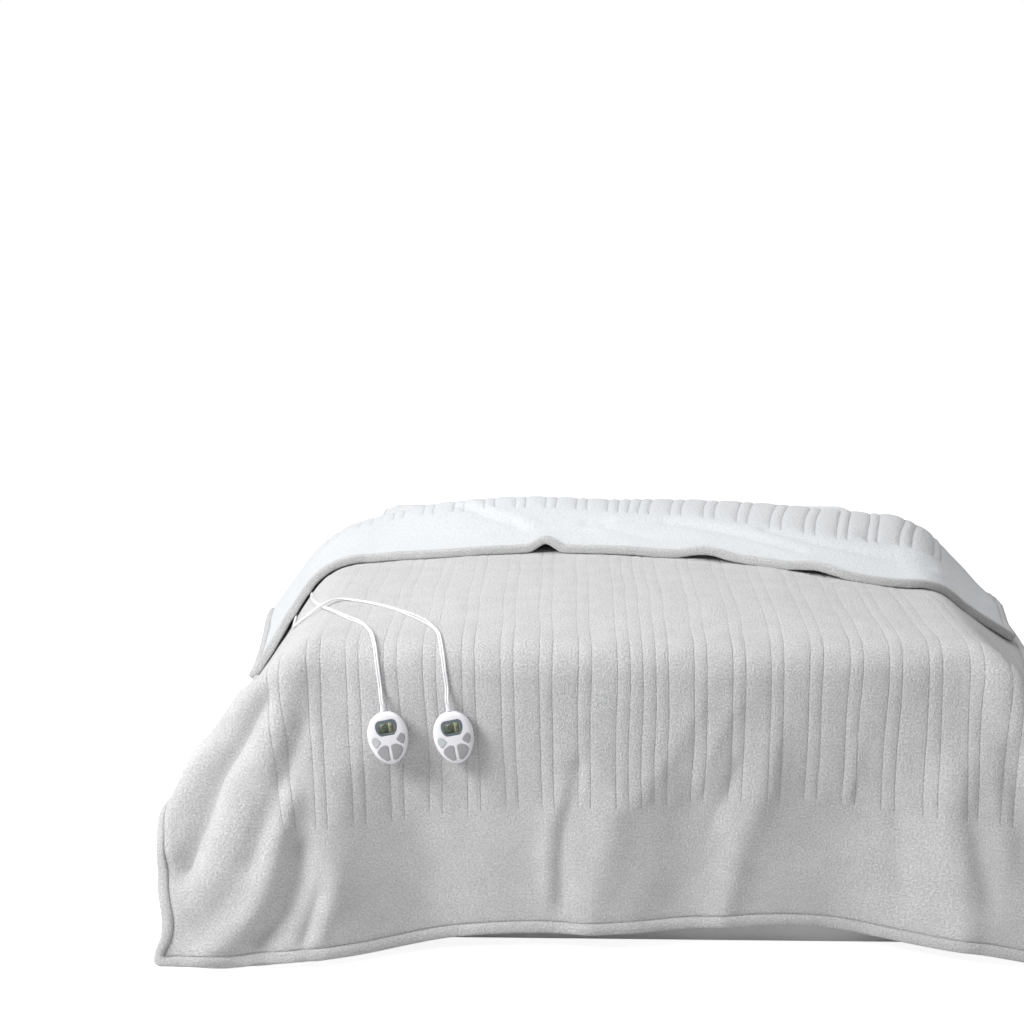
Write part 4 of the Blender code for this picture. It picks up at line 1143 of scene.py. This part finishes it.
def stitch_tree(finish):
    """Geometry nodes that lay stitches evenly along a seam's line."""
    tree = bpy.data.node_groups.new("stitches", "GeometryNodeTree")
    tree.interface.new_socket(name="Seam", in_out="INPUT", socket_type="NodeSocketGeometry")
    for name in ("Spacing", "Stitch length", "Thread width"):
        tree.interface.new_socket(name=name, in_out="INPUT", socket_type="NodeSocketFloat")
    tree.interface.new_socket(name="Seed", in_out="INPUT", socket_type="NodeSocketInt")
    tree.interface.new_socket(name="Stitches", in_out="OUTPUT", socket_type="NodeSocketGeometry")
    given = add_node(tree, "NodeGroupInput").outputs
    seam = add_node(tree, "GeometryNodeMeshToCurve", {"Mesh": given["Seam"]})
    points = add_node(tree, "GeometryNodeResampleCurve", {"Curve": seam, "Length": given["Spacing"]}, mode="LENGTH")
    ball = add_node(tree, "GeometryNodeMeshUVSphere", {"Segments": 6, "Rings": 4, "Radius": 0.5})
    tangent = add_node(tree, "GeometryNodeInputTangent")
    along = add_node(tree, "FunctionNodeAlignRotationToVector", {"Vector": tangent}, axis="X")
    turn = add_node(
        tree,
        "FunctionNodeRandomValue",
        {0: [-angle for angle in STITCH_TURN], 1: STITCH_TURN, "Seed": given["Seed"]},
        data_type="FLOAT_VECTOR",
    )
    turned = add_node(tree, "FunctionNodeRotateRotation", {0: along, 1: turn}, rotation_space="LOCAL")
    size = add_node(
        tree,
        "ShaderNodeCombineXYZ",
        {0: given["Stitch length"], 1: given["Thread width"], 2: given["Thread width"]},
    )
    laid = add_node(
        tree,
        "GeometryNodeInstanceOnPoints",
        {"Points": points, "Instance": ball, "Rotation": turned, "Scale": size},
    )
    real = add_node(tree, "GeometryNodeRealizeInstances", {0: laid})
    sewn = add_node(tree, "GeometryNodeSetMaterial", {"Geometry": real, "Material": finish})
    add_node(tree, "NodeGroupOutput", {"Stitches": sewn})
    return tree


class AddStitches(bpy.types.Operator):
    """Add the stitches of the binding's seam, on the plush side and on the sherpa side"""

    bl_idname = "heated_blanket.add_stitches"
    bl_label = "Binding stitches"

    def execute(self, context):
        settings = context.scene.blanket_cloth
        finish = thread_material(settings)
        tree = stitch_tree(finish)
        start, outward, upward = binding_rings()
        for label, hand in (("plush", 1.0), ("sherpa", -1.0)):
            seam = start + outward * SEAM_INSET + upward * hand * BINDING_PUFF / 2 * SEAM_RISE
            edges = [(k, (k + 1) % len(seam)) for k in range(len(seam))]
            mesh = bpy.data.meshes.new("seam")
            mesh.from_pydata(seam.tolist(), edges, [])
            stitches = add_object(f"binding_stitches_{label}", mesh, finish)
            modifier = stitches.modifiers.new("stitches", "NODES")
            modifier.node_group = tree
            values = {
                "Spacing": settings.stitch_spacing,
                "Stitch length": settings.stitch_length,
                "Thread width": settings.thread_width,
                "Seed": settings.seed,
            }
            for item in tree.interface.items_tree:
                if item.in_out == "INPUT" and item.name in values:
                    modifier[item.identifier] = values[item.name]
            settle(stitches).data.shade_smooth()
            dress(stitches, BED, slot="binding_cloth")
        return {"FINISHED"}


# ---- Bed


def edge_places(half, radius, step):
    """Places along one side of a rounded box: even between the roundings, closer within them."""
    inner = half - radius
    middle = np.linspace(-inner, inner, max(2, round(2 * inner / step) + 1))
    bend = inner + radius * np.tan(np.radians(np.linspace(7.5, 45, 6)))
    return np.concatenate([-bend[::-1], middle, bend])


def rounded_box(size, radius, step):
    """A closed box with evenly rounded edges, round its own middle."""
    half = [s / 2 for s in size]
    places = [edge_places(h, radius, step) for h in half]
    bm = bmesh.new()
    for axis in range(3):
        for end in (-1, 1):
            first, second = (axis + 1) % 3, (axis + 2) % 3
            grid = np.zeros((len(places[first]), len(places[second]), 3))
            grid[..., axis] = end * half[axis]
            grid[..., first] = places[first][:, None]
            grid[..., second] = places[second][None, :]
            core = np.clip(grid, [radius - h for h in half], [h - radius for h in half])
            past = grid - core
            grid = core + past / np.linalg.norm(past, axis=-1)[..., None] * radius
            made = [[bm.verts.new(point) for point in row] for row in grid]
            for i in range(len(made) - 1):
                for k in range(len(made[0]) - 1):
                    bm.faces.new((made[i][k], made[i + 1][k], made[i + 1][k + 1], made[i][k + 1]))
    bmesh.ops.remove_doubles(bm, verts=bm.verts, dist=1e-6)
    bmesh.ops.recalc_face_normals(bm, faces=bm.faces)
    return bm


def ring_path(half_x, half_y, radius, height, corner_steps=10, side_step=0.05):
    """A level rounded rectangle of points with the steps outwards at each."""
    points, outward = [], []
    corners = ((1, 1, 0), (-1, 1, 90), (-1, -1, 180), (1, -1, 270))
    for k, (sx, sy, start) in enumerate(corners):
        for angle in np.radians(start + np.linspace(0, 90, corner_steps)):
            away = Vector((math.cos(angle), math.sin(angle), 0))
            points.append(Vector((sx * (half_x - radius), sy * (half_y - radius), height)) + away * radius)
            outward.append(away)
        nx, ny, _ = corners[(k + 1) % 4]
        end = Vector((nx * (half_x - radius), ny * (half_y - radius), height)) + outward[-1] * radius
        count = int((end - points[-1]).length / side_step)
        begin = points[-1]
        for j in range(1, count):
            points.append(begin.lerp(end, j / count))
            outward.append(outward[-1])
    return np.array(points), np.array(outward)


class AddMattress(bpy.types.Operator):
    """Add the plain mattress with its soft crown and its two edge tapes"""

    bl_idname = "heated_blanket.add_mattress"
    bl_label = "Mattress"

    def execute(self, context):
        settings = context.scene.blanket_bed
        radius = EDGE_RADIUS - CLOTH_CLEARANCE
        width = MATTRESS_WIDTH - 2 * CLOTH_CLEARANCE
        length = MATTRESS_LENGTH - 2 * CLOTH_CLEARANCE
        height = MATTRESS_HEIGHT - CLOTH_CLEARANCE
        middle = BED_HEIGHT - CLOTH_CLEARANCE - height / 2
        bm = rounded_box((width, length, height), radius, MATTRESS_STEP)
        for vertex in bm.verts:
            x, y, z = vertex.co
            if z > height / 2 - 1e-4:
                rise = float(crown(x, y - FOOT_Y))
                # The cloth rests on the middle of the top, away from its edges
                contact = ease((0.55 - abs(x)) / 0.05) * ease((y - FOOT_Y - 0.12) / 0.06)
                vertex.co.z += rise + TOP_CONTACT * float(contact)
            vertex.co.z += middle
        finish = woven_material("white ticking", settings.ticking, TICKING_THREAD, QUILT_SPACING)
        mattress = add_object("mattress_body", mesh_from(bm, "mattress_body"), finish)
        dress(mattress, BED, "mattress", slot="ticking")
        tape = woven_material("mattress edge tape", settings.tape, TAPE_THREAD)
        tuck = radius * (1 - math.sqrt(0.5))
        for label, level in (("top", middle + height / 2 - tuck), ("bottom", middle - height / 2 + tuck)):
            points, outward = ring_path(width / 2 - tuck, length / 2 - tuck, radius - tuck, level)
            rings = []
            for angle in np.linspace(0, 2 * math.pi, 8, endpoint=False):
                lift = np.array([0, 0, math.sin(angle)])
                rings.append(points + (outward * math.cos(angle) + lift) * settings.tape_radius)
            name = f"mattress_tape_{label}"
            piece = add_object(name, tube_mesh(name, np.stack(rings, axis=1), closed=True), tape)
            dress(piece, BED, slot="ticking")
        return {"FINISHED"}


class AddBase(bpy.types.Operator):
    """Give the bed base its cloth"""

    bl_idname = "heated_blanket.add_base"
    bl_label = "Bed base"

    def execute(self, context):
        finish = woven_material("base cloth", context.scene.blanket_bed.base, BASE_THREAD)
        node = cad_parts["bed_base"]
        for place in node.material_slots:
            place.link = "OBJECT"
            place.material = finish
        return {"FINISHED"}


# ---- Controllers


def rounded_outline(outline, radius, steps=5):
    """An outline in millimetres as metres, counter-clockwise, its corners rounded."""
    corners = [Vector(point) * MILLIMETRE for point in outline]
    area = sum(a.x * b.y - b.x * a.y for a, b in zip(corners, corners[1:] + corners[:1]))
    if area < 0:
        corners.reverse()
    made = []
    for k, here in enumerate(corners):
        before, after = corners[k - 1], corners[(k + 1) % len(corners)]
        reach = min(radius, 0.45 * (before - here).length, 0.45 * (after - here).length)
        start = here + (before - here).normalized() * reach
        end = here + (after - here).normalized() * reach
        for t in np.linspace(0, 1, steps):
            made.append(start * (1 - t) ** 2 + here * 2 * t * (1 - t) + end * t * t)
    return np.array([tuple(p) for p in made])


def grown(outline, gap):
    """An outline moved outwards by gap."""
    ahead = np.roll(outline, -1, axis=0) - np.roll(outline, 1, axis=0)
    ahead /= np.linalg.norm(ahead, axis=1)[:, None]
    return outline + np.stack([ahead[:, 1], -ahead[:, 0]], axis=1) * gap


def fine_profile(steps=4):
    """The case's profile on a smooth curve, with the fine groove where its two halves meet."""
    points = np.array(CASE_PROFILE)
    run = np.concatenate([[0.0], np.cumsum(np.hypot(*(np.diff(points, axis=0) * (42, 1)).T))])
    at = np.concatenate([np.linspace(a, b, steps, endpoint=False) for a, b in zip(run, run[1:])] + [run[-1:]])
    share = smooth(list(zip(run, points[:, 0])), at)
    height = smooth(list(zip(run, points[:, 1])), at)
    keep = np.abs(height - GROOVE_HEIGHT) > 0.9
    return sorted([*zip(share[keep], height[keep]), *GROOVE], key=lambda row: row[1])


def case_share(x, y):
    """How far out a place on the front is, as a share of the case's outline."""
    share = np.hypot(2 * x / CASE_WIDTH, 2 * y / CASE_LENGTH)
    for _ in range(6):
        sine = np.clip(2 * y / (CASE_LENGTH * np.maximum(share, 1e-6)), -1, 1)
        share = np.hypot(2 * x / (CASE_WIDTH * (1 + EGG_SHARE * sine)), 2 * y / CASE_LENGTH)
    return share


def front_height(x, y):
    """Height of the case's front at a place on it."""
    rows = [(0.0, 26.02)] + [row for row in reversed(fine_profile()) if row[1] > 14]
    shares, heights = np.array(rows).T
    return np.interp(case_share(x, y), shares, heights) * MILLIMETRE


def egg_ring(share, height, segments=96):
    """The case's outline at a height, at a share of its full size."""
    angle = np.linspace(0, 2 * math.pi, segments, endpoint=False)
    x = CASE_WIDTH / 2 * np.cos(angle) * (1 + EGG_SHARE * np.sin(angle)) * share
    y = CASE_LENGTH / 2 * np.sin(angle) * share
    return np.stack([x, y, np.full(segments, height)], axis=1)


def add_loft(bm, rings, place, index=0):
    """A closed solid through rings of points, each end closed round its middle."""
    made = [[bm.verts.new(place @ Vector(point)) for point in ring] for ring in rings]
    faces = []
    for ring, following in zip(made, made[1:]):
        for k in range(len(ring)):
            after = (k + 1) % len(ring)
            faces.append(bm.faces.new((ring[k], ring[after], following[after], following[k])))
    for ring, points, last in ((made[0], rings[0], False), (made[-1], rings[-1], True)):
        tip = bm.verts.new(place @ Vector(np.mean(points, axis=0)))
        for k in range(len(ring)):
            pair = (ring[k], ring[(k + 1) % len(ring)])
            faces.append(bm.faces.new((*pair, tip) if last else (*reversed(pair), tip)))
    for face in faces:
        face.material_index = index


def pad_rings(outline, rise, bottom, rounding, dish=0.0):
    """Rings of a key: straight walls, a rounded edge, and a face that follows the case's front."""
    middle = outline.mean(axis=0)
    rings = []

    def ring(inset, drop):
        inside = grown(outline, -inset)
        z = front_height(inside[:, 0], inside[:, 1]) + rise - drop
        rings.append(np.column_stack([inside, z]))

    rings.append(np.column_stack([outline, np.full(len(outline), bottom)]))
    for angle in np.radians((0, 22, 45, 68, 90)):
        ring(rounding * (1 - math.cos(angle)), rounding * (1 - math.sin(angle)))
    edge = grown(outline, -rounding)
    for share in (0.85, 0.65, 0.4, 0.15):
        inside = middle + (edge - middle) * share
        z = front_height(inside[:, 0], inside[:, 1]) + rise - dish * (1 - share**2)
        rings.append(np.column_stack([inside, z]))
    return rings


class AddCases(bpy.types.Operator):
    """Add the controllers' moulded white cases with their pockets"""

    bl_idname = "heated_blanket.add_cases"
    bl_label = "Cases"

    def execute(self, context):
        settings = context.scene.blanket_controllers
        finish = plastic_material("white moulded plastic", settings.shell, 0.28, coat=0.25)
        for side, at in CONTROLLERS.items():
            place = case_frame(*at)
            bm = bmesh.new()
            add_loft(bm, [egg_ring(share, height * MILLIMETRE) for share, height in fine_profile()], place)
            case = add_object(f"{side}_shell", mesh_from(bm, f"{side}_shell"), finish)
            bm = bmesh.new()
            depths = [(outline, KEY_BOTTOM - KEY_TRAVEL - TOUCH_GAP) for outline in KEYS.values()]
            for outline, bottom in [*depths, (DISPLAY, DISPLAY_BOTTOM - TOUCH_GAP)]:
                wall = grown(rounded_outline(outline, KEY_CORNER), KEY_GAP)
                rings = [np.column_stack([wall, np.full(len(wall), z)]) for z in (bottom, 2 * CASE_DEPTH)]
                add_loft(bm, rings, place)
            pockets = add_object("pockets", mesh_from(bm, "pockets"), finish)
            cutter = case.modifiers.new("pockets", "BOOLEAN")
            cutter.operation = "DIFFERENCE"
            cutter.solver = "EXACT"
            cutter.object = pockets
            rounding = case.modifiers.new("rounding", "BEVEL")
            rounding.width = POCKET_ROUNDING
            rounding.segments = 2
            rounding.limit_method = "ANGLE"
            rounding.angle_limit = SHARP_ANGLE
            settle(case)
            bpy.data.objects.remove(pockets)
            dress(case, BED, f"{side}_case", slot="shell")
        return {"FINISHED"}


class AddKeys(bpy.types.Operator):
    """Add the soft grey keys, each on its own sprung body"""

    bl_idname = "heated_blanket.add_keys"
    bl_label = "Keys"

    def execute(self, context):
        settings = context.scene.blanket_controllers
        grey = plastic_material("grey soft key", settings.key, 0.55, pore=KEY_PORE)
        pale = plastic_material("pale soft key", settings.side_key, 0.55, pore=KEY_PORE)
        for side, at in CONTROLLERS.items():
            place = case_frame(*at)
            for key, outline in KEYS.items():
                bm = bmesh.new()
                outline = rounded_outline(outline, KEY_CORNER)
                rings = pad_rings(outline, KEY_RISE, KEY_BOTTOM, settings.rounding, KEY_DISH)
                add_loft(bm, rings, place)
                name = f"{side}_key_pad_{key}"
                pad = add_object(name, mesh_from(bm, name), pale if key == "left_side" else grey)
                dress(pad, f"{side}_key_{key}_body", f"{side}_key_{key}", slot="key")
        return {"FINISHED"}


def lcd_outline(outline, grow=0.0):
    """The display's inner opening: a rounded rectangle with a point for each of the outline's points."""
    middle = np.array(LCD_MIDDLE)
    toward = outline - middle
    toward /= np.linalg.norm(toward, axis=1)[:, None]
    half_x, half_y = LCD_HALF[0] + grow, LCD_HALF[1] + grow
    reach = ((np.abs(toward[:, 0]) / half_x) ** 9 + (np.abs(toward[:, 1]) / half_y) ** 9) ** (-1 / 9)
    return middle + toward * reach[:, None]


def add_plate(bm, middle, half, level, place, index, height=0.00012):
    """A level plate on the display, only a fraction of a millimetre high."""
    corners = np.array([(-1, -1), (1, -1), (1, 1), (-1, 1)]) * half + middle
    add_loft(bm, [np.column_stack([corners, np.full(4, z)]) for z in (level, level + height)], place, index)


class AddDisplays(bpy.types.Operator):
    """Add the displays: a slate frame, a green-grey panel, its dividing bar and its numerals"""

    bl_idname = "heated_blanket.add_displays"
    bl_label = "Displays"

    def execute(self, context):
        settings = context.scene.blanket_controllers
        finishes = (
            plastic_material("slate window frame", settings.window, 0.22, coat=0.6),
            display_material("display panel", settings.display),
            display_material("display numerals", settings.numeral),
            display_material("display bar", settings.bar),
            display_material("display side panel", settings.side_panel),
        )
        for side, at in CONTROLLERS.items():
            place = case_frame(*at)
            outline = rounded_outline(DISPLAY, DISPLAY_CORNER)
            level = float(front_height(0.0, LCD_MIDDLE[1])) - LCD_DEPTH
            rings = pad_rings(outline, DISPLAY_RISE, DISPLAY_BOTTOM, DISPLAY_ROUNDING)[:6]
            for grow, drop in OPENING_SLOPE:
                inside = lcd_outline(outline, grow)
                z = front_height(inside[:, 0], inside[:, 1]) + DISPLAY_RISE - drop
                rings.append(np.column_stack([inside, z]))
            sunk = lcd_outline(outline, -0.0002)
            rings.append(np.column_stack([sunk, np.full(len(sunk), level)]))
            bm = bmesh.new()
            add_loft(bm, rings, place)
            half = np.array(LCD_HALF)
            middle = np.array(LCD_MIDDLE)
            add_plate(bm, middle, half - 0.0006, level + 0.00002, place, PANEL)
            for x, half_width, index in ((BAR_X, 0.0012, BAR), (SIDE_X, 0.0036, SIDE)):
                add_plate(bm, middle + (x, 0), (half_width, half[1] - 0.0009), level + 0.00016, place, index)
            for numeral, x, size in (("5", -0.0040, (0.0034, 0.0064)), ("8", SIDE_X, (0.0014, 0.0026))):
                for stroke in NUMERALS[numeral]:
                    dx, dy, upright = NUMERAL_STROKES[stroke]
                    thick = size[0] * 0.22
                    long = size[1] * 0.40 if upright else size[0] * 0.74
                    spot = middle + (x + dx * size[0], dy * size[1])
                    bar = (thick, long) if upright else (long, thick)
                    add_plate(bm, spot, bar, level + 0.00030, place, STROKE)
            name = f"{side}_display_window"
            window = add_object(name, mesh_from(bm, name), *finishes)
            dress(window, BED, f"{side}_display", slot="window")
        return {"FINISHED"}


class AddGlands(bpy.types.Operator):
    """Add the ribbed strain reliefs where the leads enter the cases"""

    bl_idname = "heated_blanket.add_glands"
    bl_label = "Strain reliefs"

    def execute(self, context):
        settings = context.scene.blanket_controllers
        finish = plastic_material("white soft plastic", settings.shell, 0.45)
        start = CASE_LENGTH / 2 + GLAND_GAP
        angle = -np.linspace(0, 2 * math.pi, GLAND_SIDES, endpoint=False)
        for side, at in CONTROLLERS.items():
            place = case_frame(*at)
            rings = []
            for share in np.linspace(0, 1, GLAND_RINGS + 1):
                rib = RIB_DEPTH if 0.2 < share < 0.85 and int(share * GLAND_RINGS) % 4 in (1, 2) else 0.0
                radius = (float(smooth(GLAND_PROFILE, share)) - rib) * MILLIMETRE
                x = GLAND_FLATNESS * radius * np.cos(angle)
                z = GLAND_HEIGHT + radius * np.sin(angle)
                rings.append(np.column_stack([x, np.full(len(angle), start + share * GLAND_LENGTH), z]))
            bm = bmesh.new()
            add_loft(bm, rings, place)
            bmesh.ops.recalc_face_normals(bm, faces=bm.faces)
            name = f"{side}_strain_relief"
            dress(add_object(name, mesh_from(bm, name), finish), BED, f"{side}_gland", slot="shell")
        return {"FINISHED"}


class DeclareCloth(bpy.types.Operator):
    """An empty step, which changes nothing"""

    bl_idname = "heated_blanket.declare_cloth"
    bl_label = "Cloth facts"

    def execute(self, context):
        return {"FINISHED"}


# ---- Stage


class AddStage(bpy.types.Operator):
    """Add the pale floor, the soft light and the camera"""

    bl_idname = "heated_blanket.add_stage"
    bl_label = "Stage"

    def execute(self, context):
        settings = context.scene.blanket_stage
        scene = context.scene
        scene.view_settings.view_transform = "Standard"
        camera = bpy.data.cameras.new("camera")
        camera.lens = settings.lens
        camera.sensor_width = 36.0
        camera.clip_end = 100.0
        eye = bpy.data.objects.new("camera", camera)
        eye.location = CAMERA_PLACE
        eye.rotation_euler = [math.radians(degrees) for degrees in CAMERA_TURN]
        scene.collection.objects.link(eye)
        scene.camera = eye
        bm = bmesh.new()
        bmesh.ops.create_grid(bm, x_segments=4, y_segments=4, size=FLOOR_HALF)
        bmesh.ops.translate(bm, vec=(0, 0, -MILLIMETRE), verts=bm.verts)
        finish, tree, shader = new_material("pale floor", 0.9, Specular_IOR_Level=0.1)
        place = add_node(tree, "ShaderNodeTexCoord").outputs["Object"]
        cloud = add_node(
            tree, NOISE, {"Vector": place, "Scale": 1 / 1.5, "Detail": 2.0, "Roughness": 0.55}
        ).outputs["Fac"]
        deep, light = shade_of(settings.floor, 0.985), shade_of(settings.floor)
        tone = add_node(tree, MIX, {"Factor": cloud, 6: deep, 7: light}, data_type="RGBA").outputs[2]
        tree.links.new(tone, shader.inputs["Base Color"])
        shader.inputs["Emission Color"].default_value = (1, 1, 1, 1)
        seen = add_node(tree, "ShaderNodeLightPath").outputs["Is Camera Ray"]
        glow = add_node(tree, MATH, {0: seen, 1: settings.floor_glow}, operation="MULTIPLY")
        tree.links.new(glow.outputs[0], shader.inputs["Emission Strength"])
        add_object("floor", mesh_from(bm, "floor"), finish)
        for name, where, size, share in LIGHTS:
            light = bpy.data.lights.new(name, "AREA")
            light.shape = "SQUARE"
            light.size = size
            light.energy = settings.key_light * share
            lamp = bpy.data.objects.new(name, light)
            lamp.location = where
            lamp.rotation_euler = (Vector(LIT_PLACE) - Vector(where)).to_track_quat("-Z", "Y").to_euler()
            scene.collection.objects.link(lamp)
        world = bpy.data.worlds.new("even light")
        world.use_nodes = True
        tree = world.node_tree
        background = tree.nodes["Background"]
        background.inputs["Color"].default_value = (1, 1, 1, 1)
        seen = add_node(tree, "ShaderNodeLightPath").outputs["Is Camera Ray"]
        strength = add_node(
            tree, MATH, {0: seen, 1: 1.0 - settings.room_light, 2: settings.room_light}, operation="MULTIPLY_ADD"
        )
        tree.links.new(strength.outputs[0], background.inputs["Strength"])
        scene.world = world
        return {"FINISHED"}


class BlanketPanel(bpy.types.Panel):
    """The blanket's settings and the steps that build it"""

    bl_idname = "VIEW3D_PT_heated_blanket"
    bl_label = "Heated blanket"
    bl_space_type = "VIEW_3D"
    bl_region_type = "UI"
    bl_category = "Blanket"

    def draw(self, context):
        for group in (
            context.scene.blanket_cloth,
            context.scene.blanket_bed,
            context.scene.blanket_controllers,
            context.scene.blanket_stage,
        ):
            box = self.layout.box()
            for name in group.bl_rna.properties.keys():
                if name not in ("rna_type", "name"):
                    box.prop(group, name)
        for step in STEPS:
            self.layout.operator(step.bl_idname)


STEPS = (
    AddStage,
    AddLeads,
    AddBlanket,
    AddBinding,
    AddStitches,
    AddMattress,
    AddBase,
    AddCases,
    AddKeys,
    AddDisplays,
    AddGlands,
    DeclareCloth,
)
SETTINGS = (
    ("blanket_cloth", ClothSettings),
    ("blanket_bed", BedSettings),
    ("blanket_controllers", ControllerSettings),
    ("blanket_stage", StageSettings),
)


def register():
    for name, group in SETTINGS:
        bpy.utils.register_class(group)
        setattr(bpy.types.Scene, name, PointerProperty(type=group))
    for step in (*STEPS, BlanketPanel):
        bpy.utils.register_class(step)


def unregister():
    for step in (BlanketPanel, *reversed(STEPS)):
        bpy.utils.unregister_class(step)
    for name, group in reversed(SETTINGS):
        delattr(bpy.types.Scene, name)
        bpy.utils.unregister_class(group)


def main():
    register()
    for step in STEPS:
        area, label = step.bl_idname.split(".")
        getattr(getattr(bpy.ops, area), label)()


if __name__ == "__main__":
    main()
